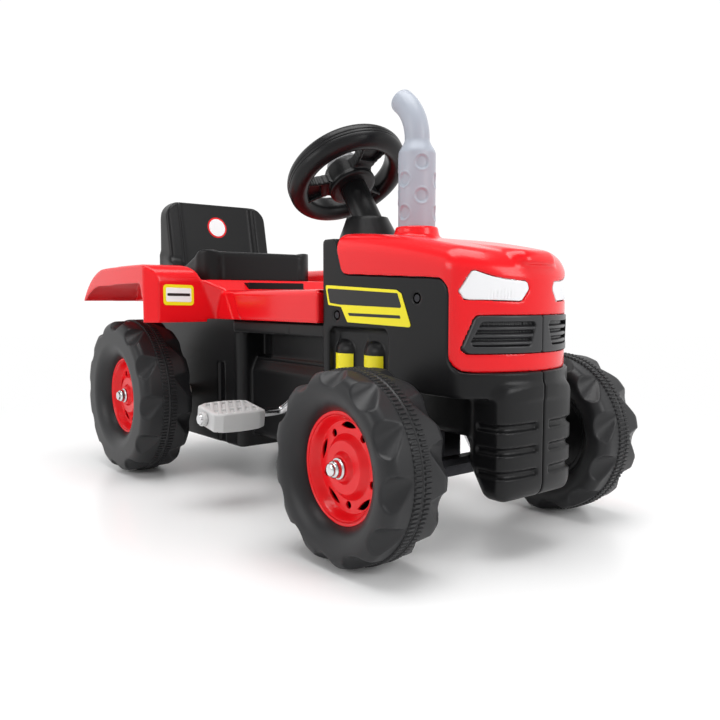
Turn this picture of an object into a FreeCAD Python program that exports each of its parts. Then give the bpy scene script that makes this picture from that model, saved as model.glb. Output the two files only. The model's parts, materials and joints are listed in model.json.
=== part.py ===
"""Ride-on pedal tractor for a small child, modelled as an assembly of separate pieces.

Frame: origin on the floor under the middle of the tractor, +X forward, +Y to the rider's left, +Z up.
"""
import FreeCAD, Part
import math
import os
import Sketcher
from FreeCAD import Placement, Rotation, Vector

doc = FreeCAD.newDocument("ride_on_tractor")
sheet = doc.addObject("Spreadsheet::Sheet", "dims")

# Driving dimensions in millimetres and degrees.
DIMENSIONS = {
    # overall layout
    "wheelbase": 550,
    "nose_overhang": 108,
    "tail_overhang": 134,
    "track": 330,
    "gap": 0.4,
    "snug": 0.05,
    "wall": 3,
    # wheels
    "front_tyre_radius": 100,
    "rear_tyre_radius": 118,
    "tyre_width": 80,
    "rim_radius": 58,
    "rim_depth": 21,
    "tread_depth": 22,
    "sidewall": 9,
    "scallop_count": 12,
    "scallop_radius": 15,
    "scallop_seam_gap": 2,
    "scallop_overrun": 5,
    "scallop_rise": 1,
    "scallop_lean": 7.5,
    "scallop_drop": 8.5,
    "cheek_height": 24,
    "cheek_curve": 27,
    "shoulder_drop": 15,
    "shoulder_inset": 12,
    "shoulder_round": 14,
    "seam_height": 2,
    "seam_width": 21,
    "hub_boss_radius": 15,
    "rim_boss_rise": 1,
    "rim_step": 4,
    "rim_dish": 11,
    "rim_skin": 3,
    "rim_lip": 5,
    "rim_flare": 6,
    "boss_taper": 2,
    "boss_ring": 12,
    "dish_slope": 7,
    "window_count": 5,
    "window_length": 24,
    "window_inner_curve": 17,
    "window_outer_curve": 44,
    "window_inset": 17,
    "rim_hole_inset": 19,
    "rim_hole_radius": 4,
    "inner_rim_rise": 3,
    "inner_rim_dish": 6,
    "washer_reach": 5,
    "washer_thick": 2,
    "nut_reach": 3,
    "nut_height": 9,
    "nut_dome": 2,
    "axle_proud": 2,
    "spacer_reach": 4,
    "axle_radius": 6,
    "bush_radius": 11,
    # front body section
    "panel_half_width": 90,
    "panel_length": 268,
    "panel_bottom": 168,
    "panel_top": 340,
    "panel_corner": 30,
    "band_top": 194,
    "recess_front": 142,
    "recess_rear": 250,
    "recess_top": 235,
    "recess_depth": 11,
    "bottle_radius": 23,
    "nose_half_width": 60,
    "nose_depth": 58,
    "nose_bottom": 61,
    "core_bottom": 124,
    "nose_round": 12,
    "groove_count": 3,
    "groove_start": 29,
    "groove_pitch": 24,
    "groove_height": 8,
    "groove_depth": 4,
    # waist and rear body section
    "waist_half_width": 60,
    "waist_overlap": 20,
    "waist_bottom": 66,
    "waist_top": 182,
    "neck_half_width": 50,
    "neck_rear": 190,
    "spine_half_width": 38,
    "ledge_half_width": 86,
    "ledge_bottom": 224,
    "body_top": 238,
    "rear_half_width": 80,
    "rear_bottom": 48,
    "rear_length": 110,
    "rear_front": 172,
    "rear_corner": 16,
    # hood
    "hood_half_width": 91,
    "hood_setback": 7,
    "hood_rear_top": 243,
    "hood_rear_low": 228,
    "hood_step_front": 55,
    "hood_step": 289,
    "hood_step_rear": 297,
    "hood_low_corner": 20,
    "hood_high_corner": 17,
    "hood_top": 347,
    "hood_front_top": 310,
    "hood_crown_curve": 1100,
    "hood_round": 25,
    "hood_bow": 118,
    "hood_wall": 3,
    "hood_corner": 30,
    "bulge_half_width": 43,
    "bulge_rear": 90,
    "bulge_rear_top": 329,
    "bulge_front_top": 319,
    "bulge_bottom": 300,
    "bulge_crown": 400,
    "bulge_nose": 13,
    "bulge_round": 4,
    "bulge_proud": 2,
    "lamp_inner": 17,
    "lamp_bottom": 267,
    "lamp_inner_height": 19,
    "lamp_outer_height": 30,
    "lamp_setback": 37,
    "lamp_tip_height": 10,
    "lamp_slant": 15,
    "lamp_chin": 5,
    "lamp_round": 7,
    "lens_thick": 2,
    "lamp_depth": 12,
    "grille_bottom": 213,
    "grille_top": 252,
    "grille_half_bottom": 85,
    "grille_half_top": 73,
    "grille_round": 6,
    "grille_proud": 1.5,
    # exhaust
    "exhaust_setback": 196,
    "exhaust_radius": 22.5,
    "exhaust_neck_radius": 15,
    "exhaust_shoulder": 444,
    "exhaust_neck": 462,
    "exhaust_bend": 40,
    "exhaust_turn": 58,
    "exhaust_tip": 21,
    "dimple_radius": 8.5,
    "dimple_pitch": 39,
    "dimple_columns": 6,
    "dimple_turn": 32,
    "dimple_first": 17,
    "dimple_depth": 1.2,
    "collar_radius": 29,
    "collar_base": 337,
    "collar_height": 18,
    # steering
    "steering_setback": 333,
    "steering_height": 435,
    "column_tilt": 35,
    "steering_radius": 71,
    "grip_radius": 12,
    "grip_height": 16,
    "spoke_count": 3,
    "spoke_width": 30,
    "spoke_thick": 15,
    "steering_hub_radius": 30,
    "steering_hub_height": 34,
    "steering_hub_drop": 24,
    "horn_radius": 21,
    "horn_height": 14,
    "horn_travel": 4,
    "shaft_radius": 5,
    "shaft_bend": 6.5,
    "pin_drop": 20,
    "sleeve_length": 66,
    "column_sleeve_radius": 18,
    "crank_throw": 16.5,
    "knuckle_arm": 33,
    "tie_play": 1.8,
    "shaft_length": 412,
    "cowl_base_radius": 42,
    "cowl_top": 374,
    "cowl_top_radius": 27,
    "cowl_bottom": 290,
    "beam_bottom": 72,
    "beam_height": 16,
    "beam_depth": 26,
    "kingpin_half_track": 98,
    "kingpin_radius": 5,
    "kingpin_head_radius": 9,
    "knuckle_radius": 12,
    "knuckle_rise": 18,
    "arm_half_width": 7.8,
    "arm_pin_radius": 4,
    "arm_pin_head_radius": 7.5,
    "tie_rod_height": 8,
    "tie_half_depth": 7.2,
    "tie_end": 9,
    "fork_front": 8,
    # pedal drive
    "crank_setback": 219,
    "crank_height": 146,
    "crank_arm": 58,
    "crank_angle": 30,
    "crank_rod_radius": 6,
    "crank_bend": 9,
    "crank_arm_offset": 78,
    "pedal_inner": 120,
    "pedal_width": 74,
    "pedal_length": 58,
    "pedal_thick": 26,
    "pedal_tilt": 9,
    "pedal_round": 6,
    "stripe_count": 4,
    "stripe_start": 5,
    "stripe_pitch": 14.8,
    "stripe_width": 6.7,
    "stripe_half_length": 21,
    "front_sprocket_radius": 38,
    "rear_sprocket_radius": 26,
    "front_teeth": 19,
    "rear_teeth": 13,
    "sprocket_thick": 4,
    "chain_thick": 7,
    "chain_width": 9,
    "chain_offset": 18,
    "tooth_radius": 3.5,
    # red deck and mudguards
    "deck_half_width": 95,
    "deck_top": 280,
    "deck_wall": 3,
    "deck_round": 8,
    "saddle_top": 295.7,
    "fender_outer": 201,
    "fender_top": 318,
    "fender_brow_round": 26.4,
    "fender_crown_curve": 2200,
    "fender_front": 129,
    "fender_front_low": 234,
    "fender_tip": 266,
    "fender_lip": 27,
    "fender_brow": 24,
    "fender_rear_crest": 50,
    # seat
    "seat_half_width": 102,
    "seat_front": 108,
    "seat_depth": 172,
    "seat_play": 0.3,
    "seat_rim": 341,
    "seat_dish": 22,
    "back_top": 431,
    "back_half_width": 95,
    "back_thick": 24,
    "rail_half_width": 50,
    "latch_depth": 20,
    "seat_corner": 22,
    "back_corner": 30,
    "back_lean": 26,
    "pan_rear": 5,
    "seat_bolster": 20,
    # small hardware
    "screw_radius": 4,
    "front_screw_setback": 101,
    "front_screw_height": 269,
    "rear_screw_setback": 240,
    "rear_screw_height": 249,
    "hitch_bore": 6,
    "hitch_length": 24,
    "hitch_thick": 10,
}
for row, (alias, number) in enumerate(DIMENSIONS.items(), 1):
    sheet.set(f"A{row}", alias)
    sheet.set(f"B{row}", str(number))
    sheet.setAlias(f"B{row}", alias)
doc.recompute()


def value(expression):
    """Number that an expression over the driving dimensions gives now."""
    return float(sheet.evalExpression(str(expression)))


# Reference places along X, as expressions.
FRONT_AXLE = "((dims.wheelbase + dims.tail_overhang - dims.nose_overhang) / 2)"
REAR_AXLE = f"({FRONT_AXLE} - dims.wheelbase)"
NOSE = f"({FRONT_AXLE} + dims.nose_overhang)"
TAIL = f"({REAR_AXLE} - dims.tail_overhang)"
PANEL_REAR = f"({NOSE} - dims.panel_length)"
HOOD_FRONT = f"({NOSE} - dims.hood_setback)"
REAR_BOX_FRONT = f"({REAR_AXLE} + dims.rear_front)"
CRANK_X = f"({FRONT_AXLE} - dims.crank_setback)"
STEERING_X = f"({NOSE} - dims.steering_setback)"
EXHAUST_X = f"({NOSE} - dims.exhaust_setback)"
SCREW_PLACES = {end: (f"({NOSE} - dims.{end}_screw_setback)", f"dims.{end}_screw_height")
                for end in ("front", "rear")}
RIGHT, LEFT = -1, 1
SIDES = {"right": RIGHT, "left": LEFT}
nodes = {}


def keep(label, item):
    """Register a finished piece under the name of its file."""
    item.Label = label
    nodes[label] = item
    return item


# Helpers for sketch-based pieces.
def new_body(name):
    return doc.addObject("PartDesign::Body", name)


def origin_item(body, role):
    return next(item for item in body.Origin.OriginFeatures if item.Role == role)


def sketch(body, plane, outlines, offset="0"):
    """Sketch of closed outlines: lists of (x, y) expressions, or ("circle", x, y, radius).

    A point may carry a third item, the radius of the arc from it to the next point; a minus sign on
    the radius turns the arc to the other side.
    """
    made = body.newObject("Sketcher::SketchObject", f"{body.Name}_outline")
    made.AttachmentSupport = [(origin_item(body, plane), "")]
    made.MapMode = "FlatFace"
    made.setExpression("AttachmentOffset.Base.z", offset)

    def bind(kind, geometry, place, expression):
        index = made.addConstraint(Sketcher.Constraint(kind, -1, 1, geometry, place, value(expression)))
        made.setExpression(f"Constraints[{index}]", expression)

    for outline in outlines:
        if outline[0] == "circle":
            centre_x, centre_y, radius = outline[1:]
            centre = Vector(value(centre_x), value(centre_y), 0)
            circle = made.addGeometry(Part.Circle(centre, Vector(0, 0, 1), value(radius)), False)
            bind("DistanceX", circle, 3, centre_x)
            bind("DistanceY", circle, 3, centre_y)
            index = made.addConstraint(Sketcher.Constraint("Radius", circle, value(radius)))
            made.setExpression(f"Constraints[{index}]", radius)
            continue
        corners = [Vector(value(point[0]), value(point[1]), 0) for point in outline]
        first = made.GeometryCount
        starts = []
        for number, point in enumerate(outline):
            here = corners[number]
            there = corners[(number + 1) % len(outline)]
            if len(point) == 2:
                made.addGeometry(Part.LineSegment(here, there), False)
                starts.append((1, 2))
                continue
            bulge = value(point[2])
            chord = there - here
            sagitta = abs(bulge) - math.sqrt(bulge ** 2 - chord.Length ** 2 / 4)
            side = Vector(chord.y, -chord.x, 0).normalize() * math.copysign(sagitta, bulge)
            middle = (here + there) / 2 + side
            if bulge > 0:
                made.addGeometry(Part.Arc(here, middle, there), False)
                starts.append((1, 2))
            else:
                made.addGeometry(Part.Arc(there, middle, here), False)
                starts.append((2, 1))
        for number, point in enumerate(outline):
            following = (number + 1) % len(outline)
            made.addConstraint(Sketcher.Constraint(
                "Coincident", first + number, starts[number][1], first + following, starts[following][0]))
            bind("DistanceX", first + number, starts[number][0], point[0])
            bind("DistanceY", first + number, starts[number][0], point[1])
            if len(point) == 3:
                radius = abs(value(point[2]))
                index = made.addConstraint(Sketcher.Constraint("Radius", first + number, radius))
                made.setExpression(f"Constraints[{index}]", f"abs({point[2]})")
    return made


def pad(body, plane, outlines, length, offset="0", reverse=False, both=False):
    feature = body.newObject("PartDesign::Pad", f"{body.Name}_pad")
    feature.Profile = sketch(body, plane, outlines, offset)
    feature.setExpression("Length", length)
    feature.Reversed = reverse
    feature.Midplane = both
    doc.recompute()
    return feature


def pocket(body, plane, outlines, length, offset="0", reverse=False, both=False):
    feature = body.newObject("PartDesign::Pocket", f"{body.Name}_pocket")
    feature.Profile = sketch(body, plane, outlines, offset)
    feature.setExpression("Length", length)
    feature.Reversed = reverse
    feature.Midplane = both
    before = body.Shape.Volume
    doc.recompute()
    if body.Shape.Volume > before - 1:
        raise RuntimeError(f"nothing was cut by {feature.Name}")
    return feature


def revolve(body, plane, outlines, axis):
    feature = body.newObject("PartDesign::Revolution", f"{body.Name}_turned")
    feature.Profile = sketch(body, plane, outlines)
    feature.ReferenceAxis = (origin_item(body, axis), [""])
    feature.Angle = 360
    doc.recompute()
    return feature


def polar(body, feature, axis, count):
    pattern = body.newObject("PartDesign::PolarPattern", f"{body.Name}_pattern")
    pattern.Originals = [feature]
    pattern.Axis = (origin_item(body, axis), [""])
    pattern.Angle = 360
    pattern.setExpression("Occurrences", count)
    body.Tip = pattern
    doc.recompute()
    return pattern


def fillet(body, radius, chosen):
    """Round the edges of the body whose curve passes the given test."""
    base = body.Tip
    names = [f"Edge{number}" for number, edge in enumerate(base.Shape.Edges, 1) if chosen(edge)]
    rounded = body.newObject("PartDesign::Fillet", f"{body.Name}_rounding")
    rounded.Base = (base, names)
    rounded.setExpression("Radius", radius)
    doc.recompute()
    return rounded


def runs_along(edge, axis):
    """True for a straight edge parallel to an axis."""
    if edge.Degenerated or edge.Curve.TypeId != "Part::GeomLine":
        return False
    run = edge.Vertexes[-1].Point - edge.Vertexes[0].Point
    return abs(abs(run.normalize().dot(axis)) - 1) < 1e-6


def near(number, expression, slack=0.05):
    return abs(number - value(expression)) < slack


# Helpers for pieces made of plain solids.
def place(item, x="0", y="0", z="0", turn=None):
    """Place a piece at expressions, turned by (axis, angle expression)."""
    if turn:
        item.Placement = Placement(Vector(), Rotation(turn[0], value(turn[1])))
        item.setExpression("Placement.Rotation.Angle", turn[1])
    item.setExpression("Placement.Base.x", x)
    item.setExpression("Placement.Base.y", y)
    item.setExpression("Placement.Base.z", z)
    return item


def box(name, x, y, z):
    """Box between pairs of expressions (low, high) along each axis."""
    made = doc.addObject("Part::Box", name)
    for size, pair in zip(("Length", "Width", "Height"), (x, y, z)):
        made.setExpression(size, f"({pair[1]}) - ({pair[0]})")
    return place(made, x[0], y[0], z[0])


def cylinder(name, radius, length, x="0", y="0", z="0", turn=None):
    made = doc.addObject("Part::Cylinder", name)
    made.setExpression("Radius", radius)
    made.setExpression("Height", length)
    return place(made, x, y, z, turn)


def along_y(name, radius, low, high, x, z):
    """Cylinder along Y between two expressions."""
    return cylinder(name, radius, f"({high}) - ({low})", x, low, z, (Vector(-1, 0, 0), "90"))


def fuse(name, items):
    made = doc.addObject("Part::MultiFuse", name)
    made.Shapes = items
    doc.recompute()
    return made


def cut(name, base, tools):
    made = doc.addObject("Part::Cut", name)
    made.Base = base
    made.Tool = tools[0] if len(tools) == 1 else fuse(f"{name}_tools", tools)
    doc.recompute()
    return made


def common(name, first, second):
    made = doc.addObject("Part::MultiCommon", name)
    made.Shapes = [first, second]
    doc.recompute()
    return made


def bent_rod(name, points, radius, bend):
    """Round rod along straight runs joined by tangent arcs."""
    edges = []
    last = points[0]
    for before, here, after in zip(points, points[1:], points[2:]):
        inward = (before - here).normalize()
        outward = (after - here).normalize()
        half = inward.getAngle(outward) / 2
        reach = bend / math.tan(half)
        middle = here + (inward + outward).normalize() * (bend / math.sin(half) - bend)
        start = here + inward * reach
        end = here + outward * reach
        edges.append(Part.LineSegment(last, start).toShape())
        edges.append(Part.Arc(start, middle, end).toShape())
        last = end
    edges.append(Part.LineSegment(last, points[-1]).toShape())
    path = Part.Wire(edges)
    section = Part.Wire(Part.Circle(points[0], points[1] - points[0], radius).toShape())
    made = doc.addObject("Part::Feature", name)
    made.Shape = path.makePipeShell([section], True, False)
    return made


# Wheels: each is a hollow tyre between an outer rim and an inner rim that turn on one axle.
BORE = "(dims.axle_radius + dims.gap)"
SNUG_BORE = "(dims.axle_radius + dims.snug)"
HALF_TYRE = "(dims.tyre_width / 2)"
RIM_LIP = "(dims.rim_radius - dims.gap / 2)"
INNER_FACE = "(dims.rim_depth + dims.inner_rim_rise)"
NUT_FACE = "(dims.rim_depth + dims.rim_boss_rise + dims.gap)"
AXLE_REACH = f"(dims.track / 2 + {NUT_FACE} + dims.nut_height + dims.axle_proud)"


def scallops(body, radius, side, phase):
    """Row of tapering scallops from the seam out through one shoulder of the tyre."""
    inner = value("dims.seam_width / 2 + dims.scallop_seam_gap")
    outer = value("dims.tyre_width / 2 + dims.scallop_overrun")
    crown = value(radius)
    start = Vector(0, side * inner, crown + value("dims.scallop_rise"))
    end = Vector(value("dims.scallop_lean"), side * outer, crown - value("dims.scallop_drop"))
    turn = Rotation(Vector(0, 1, 0), phase)
    cone = body.newObject("PartDesign::SubtractiveCone", f"{body.Name}_scallop")
    cone.setExpression("Radius1", "dims.seam_height")
    cone.setExpression("Radius2", "dims.scallop_radius")
    cone.Height = (end - start).Length
    cone.Placement = Placement(turn.multVec(start), turn.multiply(Rotation(Vector(0, 0, 1), end - start)))
    doc.recompute()
    polar(body, cone, "Y_Axis", "dims.scallop_count")


def tyre(name, radius, side, axle_x):
    """Blow-moulded tyre, open towards the rim, with a raised seam band round its middle."""
    body = new_body(name)
    bead = "(dims.rim_depth - dims.sidewall)"
    chamber = f"({HALF_TYRE} - dims.sidewall)"
    cheek = "dims.rim_radius + dims.cheek_height"
    shoulder = f"({HALF_TYRE} - dims.shoulder_inset)"
    tread = f"{radius} - dims.seam_height"
    half_section = [
        ("dims.rim_depth", "dims.rim_radius", "dims.cheek_curve"),
        (HALF_TYRE, cheek),
        (HALF_TYRE, f"{radius} - dims.shoulder_drop", "dims.shoulder_round"),
        (shoulder, tread),
        ("dims.seam_width / 2", tread),
        ("dims.seam_width / 2", radius),
    ]
    other_half = [
        ("-dims.seam_width / 2", radius),
        ("-dims.seam_width / 2", tread),
        (f"-{shoulder}", tread, "dims.shoulder_round"),
        (f"-{HALF_TYRE}", f"{radius} - dims.shoulder_drop"),
        (f"-{HALF_TYRE}", cheek, "dims.cheek_curve"),
        ("-dims.rim_depth", "dims.rim_radius"),
    ]
    chamber_half = [
        (f"-{bead}", "dims.rim_radius"),
        (f"-{bead}", "dims.rim_radius + dims.sidewall / 2"),
        (f"-{chamber}", "dims.rim_radius + dims.sidewall"),
        (f"-{chamber}", f"{radius} - dims.tread_depth"),
        (chamber, f"{radius} - dims.tread_depth"),
        (chamber, "dims.rim_radius + dims.sidewall"),
        (bead, "dims.rim_radius + dims.sidewall / 2"),
        (bead, "dims.rim_radius"),
    ]
    revolve(body, "YZ_Plane", [half_section + other_half + chamber_half], "Y_Axis")
    scallops(body, radius, side, 0)
    scallops(body, radius, -side, 180 / value("dims.scallop_count"))
    place(body, axle_x, f"{side} * dims.track / 2", radius)
    return keep(name, body)


def turned_on_axle(name, section, radius, side, axle_x):
    """Body turned about the axle from a section that is drawn outboard of the wheel's middle."""
    body = new_body(name)
    outline = [(f"{side} * ({point[0]})",) + tuple(point[1:]) for point in section]
    revolve(body, "YZ_Plane", [outline], "Y_Axis")
    place(body, axle_x, f"{math.copysign(1, side)} * dims.track / 2", radius)
    return body


def outer_rim(name, radius, side, axle_x):
    """Dished red rim with lens windows, round holes and a stepped boss in the middle."""
    boss = "dims.hub_boss_radius"
    boss_top = "dims.rim_depth + dims.rim_boss_rise"
    step = "dims.rim_depth - dims.rim_step"
    dish = "dims.rim_depth - dims.rim_dish"
    body = turned_on_axle(name, [
        ("0", BORE),
        (boss_top, BORE),
        (boss_top, f"{boss} - dims.boss_taper"),
        (step, f"{boss} + dims.boss_taper"),
        (step, f"{boss} + dims.boss_ring"),
        (dish, f"{boss} + dims.boss_ring + dims.dish_slope"),
        (dish, "dims.rim_radius - dims.rim_lip - dims.rim_flare"),
        ("dims.rim_depth", "dims.rim_radius - dims.rim_lip", "dims.rim_skin"),
        ("dims.rim_depth", RIM_LIP),
        ("dims.rim_depth - dims.sidewall", RIM_LIP),
        ("dims.rim_depth - dims.sidewall", "dims.rim_radius - dims.rim_skin"),
        (f"{dish} - dims.rim_skin", "dims.rim_radius - dims.rim_lip - dims.rim_flare + dims.rim_skin / 3"),
        (f"{dish} - dims.rim_skin", f"{boss} + dims.boss_ring + dims.dish_slope - dims.rim_skin"),
        (f"{step} - dims.rim_skin", f"{boss} + dims.boss_ring - dims.rim_skin"),
        (f"{step} - dims.rim_skin", boss),
        ("0", boss),
    ], radius, side, axle_x)
    high = "(dims.rim_radius - dims.window_inset)"
    lens = [("-dims.window_length / 2", high, "-dims.window_inner_curve"),
            ("dims.window_length / 2", high, "-dims.window_outer_curve")]
    window = pocket(body, "XZ_Plane", [lens], "2 * dims.tyre_width", both=True)
    polar(body, window, "Y_Axis", "dims.window_count")
    hole = pocket(body, "XZ_Plane", [("circle", "0", "-(dims.rim_radius - dims.rim_hole_inset)",
                                      "dims.rim_hole_radius")], "2 * dims.tyre_width", both=True)
    polar(body, hole, "Y_Axis", "dims.window_count")
    return keep(name, body)


def inner_rim(name, radius, side, axle_x):
    """Plain rim half on the inboard side of the wheel."""
    boss = "dims.hub_boss_radius"
    face = "dims.rim_depth - dims.inner_rim_dish"
    body = new_body(name)
    section = [
        ("0", BORE),
        (INNER_FACE, BORE),
        (INNER_FACE, boss),
        (face, f"{boss} + dims.boss_taper"),
        (face, "dims.rim_radius - dims.rim_lip - dims.boss_taper"),
        ("dims.rim_depth", "dims.rim_radius - dims.rim_lip"),
        ("dims.rim_depth", RIM_LIP),
        ("dims.rim_depth - dims.sidewall", RIM_LIP),
        ("dims.rim_depth - dims.sidewall", boss),
        ("0", boss),
    ]
    revolve(body, "YZ_Plane", [[(f"{-side} * ({point[0]})", point[1]) for point in section]], "Y_Axis")
    place(body, axle_x, f"{side} * dims.track / 2", radius)
    return keep(name, body)


def axle_nut(name, radius, side, axle_x):
    """Washer and domed lock nut that hold the wheel on the end of its axle."""
    washer = "dims.axle_radius + dims.washer_reach"
    nut = "dims.axle_radius + dims.nut_reach"
    return keep(name, turned_on_axle(name, [
        (NUT_FACE, SNUG_BORE),
        (NUT_FACE, washer),
        (f"{NUT_FACE} + dims.washer_thick", washer),
        (f"{NUT_FACE} + dims.washer_thick", nut),
        (f"{NUT_FACE} + dims.nut_height - dims.nut_dome", nut),
        (f"{NUT_FACE} + dims.nut_height", f"{nut} - dims.nut_dome"),
        (f"{NUT_FACE} + dims.nut_height", SNUG_BORE),
    ], radius, side, axle_x))


for side_name, side in SIDES.items():
    for end, radius, axle_x in (("front", "dims.front_tyre_radius", FRONT_AXLE),
                                ("rear", "dims.rear_tyre_radius", REAR_AXLE)):
        tyre(f"{end}_tyre_{side_name}", radius, side, axle_x)
        outer_rim(f"{end}_rim_{side_name}", radius, side, axle_x)
        inner_rim(f"{end}_inner_rim_{side_name}", radius, side, axle_x)
        axle_nut(f"{end}_axle_nut_{side_name}", radius, side, axle_x)


def bowed_corner(half_width, bow, corner):
    """Points where a bowed front turns into a rounded corner, and the corner into the straight side."""
    middle = f"({HOOD_FRONT} - dims.hood_bow)"
    across = f"(({half_width}) - ({corner}))"
    span = f"(({bow}) - ({corner}))"
    along = f"sqrt({span} ^ 2 - {across} ^ 2)"
    turn = (f"({middle} + ({bow}) * {along} / {span})", f"(({bow}) * {across} / {span})")
    return turn, (f"({middle} + {along})", half_width)


# Body shell: two black mouldings that meet in the middle plane, seen here as a right and a left half.
def body_half(name, side):
    body = new_body(name)
    to_left = side == LEFT

    def block(outline, half_width):
        pad(body, "XZ_Plane", [outline], half_width, reverse=to_left)

    def hollow(outline, half_width):
        pocket(body, "XZ_Plane", [outline], half_width, reverse=not to_left)

    def rectangle(low_x, high_x, low_z, high_z):
        return [(low_x, low_z), (high_x, low_z), (high_x, high_z), (low_x, high_z)]

    block([
        (f"{PANEL_REAR} - dims.wall", "dims.core_bottom"),
        (f"{NOSE} - dims.nose_depth", "dims.core_bottom"),
        (f"{NOSE} - dims.nose_depth", "dims.nose_bottom"),
        (NOSE, "dims.nose_bottom"),
        (NOSE, "dims.panel_bottom"),
        (f"{PANEL_REAR} - dims.wall", "dims.panel_bottom"),
    ], "dims.nose_half_width")
    nose_side = str(side * value("dims.nose_half_width"))
    fillet(body, "dims.nose_round", lambda edge: near(edge.CenterOfMass.y, nose_side)
           and edge.CenterOfMass.z < value("dims.panel_bottom") - 1
           and edge.CenterOfMass.x > value(f"{NOSE} - dims.nose_depth") + 1
           or near(edge.CenterOfMass.x, NOSE) and near(edge.CenterOfMass.z, "dims.nose_bottom"))
    band_front = f"({NOSE} - dims.wall)"
    step_x = f"({NOSE} - dims.hood_step_front)"
    block([
        (PANEL_REAR, "dims.panel_bottom"),
        (band_front, "dims.panel_bottom"),
        (band_front, "dims.band_top"),
        (f"{step_x} + dims.hood_low_corner", "dims.band_top", "-dims.hood_low_corner"),
        (step_x, "dims.band_top + dims.hood_low_corner"),
        (step_x, "dims.hood_step - dims.hood_high_corner", "dims.hood_high_corner"),
        (f"{step_x} - dims.hood_high_corner", "dims.hood_step"),
        (f"{NOSE} - dims.hood_rear_low", "dims.hood_step_rear"),
        (f"{NOSE} - dims.hood_rear_top", "dims.panel_top"),
        (PANEL_REAR, "dims.panel_top"),
    ], "dims.panel_half_width")
    band_bow = f"(dims.hood_bow + {band_front} - {HOOD_FRONT})"
    turn, (corner_x, corner_y) = bowed_corner("dims.panel_half_width", band_bow, "dims.panel_corner")
    turn_x, turn_y = turn
    clear_y = f"{side} * (dims.panel_half_width + dims.wall)"
    pocket(body, "XY_Plane", [[
        (corner_x, f"{side} * {corner_y}", f"{-side} * dims.panel_corner"),
        (turn_x, f"{side} * {turn_y}", f"{-side} * {band_bow}"),
        (band_front, "0"),
        (f"{NOSE} + dims.wall", "0"),
        (f"{NOSE} + dims.wall", clear_y),
        (corner_x, clear_y),
    ]], "dims.hood_step - dims.panel_bottom", "dims.hood_step")
    block(rectangle(f"{REAR_BOX_FRONT} - dims.wall", f"{PANEL_REAR} + dims.waist_overlap",
                    "dims.waist_bottom", "dims.waist_top"), "dims.waist_half_width")
    block(rectangle(f"{PANEL_REAR} - dims.neck_rear", f"{PANEL_REAR} + dims.wall",
                    "dims.waist_top - dims.wall", "dims.body_top"), "dims.neck_half_width")
    block(rectangle(f"{REAR_BOX_FRONT} - dims.wall", f"{PANEL_REAR} - dims.neck_rear + dims.wall",
                    "dims.waist_top - dims.wall", "dims.body_top"), "dims.spine_half_width")
    block(rectangle(f"{REAR_BOX_FRONT} - dims.wall", PANEL_REAR,
                    "dims.ledge_bottom", "dims.body_top"), "dims.ledge_half_width")
    block(rectangle(f"{REAR_AXLE} - dims.rear_length", REAR_BOX_FRONT,
                    "dims.rear_bottom", "dims.body_top"), "dims.rear_half_width")
    rear_side = str(side * value("dims.rear_half_width"))
    fillet(body, "dims.rear_corner", lambda edge: runs_along(edge, Vector(0, 0, 1))
           and near(edge.CenterOfMass.y, rear_side) and edge.Length > value("dims.waist_bottom"))
    # Inside of the moulding, open at the middle plane.
    hollow([
        (f"{PANEL_REAR} + dims.wall", "dims.panel_bottom + dims.wall"),
        (f"{step_x} - dims.wall", "dims.panel_bottom + dims.wall"),
        (f"{step_x} - dims.wall", "dims.hood_step - dims.hood_high_corner",
         "dims.hood_high_corner - dims.wall"),
        (f"{step_x} - dims.hood_high_corner", "dims.hood_step - dims.wall"),
        (f"{NOSE} - dims.hood_rear_low - dims.wall", "dims.hood_step_rear - dims.wall"),
        (f"{NOSE} - dims.hood_rear_top - dims.wall", "dims.panel_top - dims.wall"),
        (f"{PANEL_REAR} + dims.wall", "dims.panel_top - dims.wall"),
    ], "dims.panel_half_width - dims.wall")
    hollow(rectangle(f"{step_x} - 2 * dims.wall", f"{band_front} - 4 * dims.wall",
                     "dims.panel_bottom + dims.wall", "dims.band_top - dims.wall"),
           "dims.panel_half_width / 2")
    thick = "(2 * dims.wall)"
    hollow(rectangle(PANEL_REAR, f"{NOSE} - dims.nose_depth",
                     "dims.core_bottom + dims.wall", "dims.panel_bottom + 2 * dims.wall"),
           "dims.nose_half_width - dims.wall")
    hollow(rectangle(f"{NOSE} - dims.nose_depth + {thick}", f"{NOSE} - {thick}",
                     f"dims.nose_bottom + {thick}", "dims.panel_bottom - dims.wall"),
           f"dims.nose_half_width - {thick}")
    hollow(rectangle(f"{REAR_BOX_FRONT} - 4 * dims.wall", f"{PANEL_REAR} + dims.waist_overlap - dims.wall",
                     "dims.waist_bottom + dims.wall", "dims.waist_top - dims.wall"),
           "dims.waist_half_width - dims.wall")
    hollow(rectangle(f"{PANEL_REAR} - dims.neck_rear + dims.wall", PANEL_REAR,
                     "dims.waist_top - 2 * dims.wall", "dims.body_top - dims.wall"),
           "dims.neck_half_width - dims.wall")
    hollow(rectangle(f"{REAR_BOX_FRONT} - 4 * dims.wall", f"{PANEL_REAR} - dims.neck_rear + 2 * dims.wall",
                     "dims.waist_top - 2 * dims.wall", "dims.body_top - dims.wall"),
           "dims.spine_half_width - dims.wall")
    hollow(rectangle(f"{REAR_AXLE} - dims.rear_length + {thick}", f"{REAR_BOX_FRONT} - {thick}",
                     "dims.rear_bottom + dims.wall", "dims.body_top - dims.wall"),
           f"dims.rear_half_width - {thick}")
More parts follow.
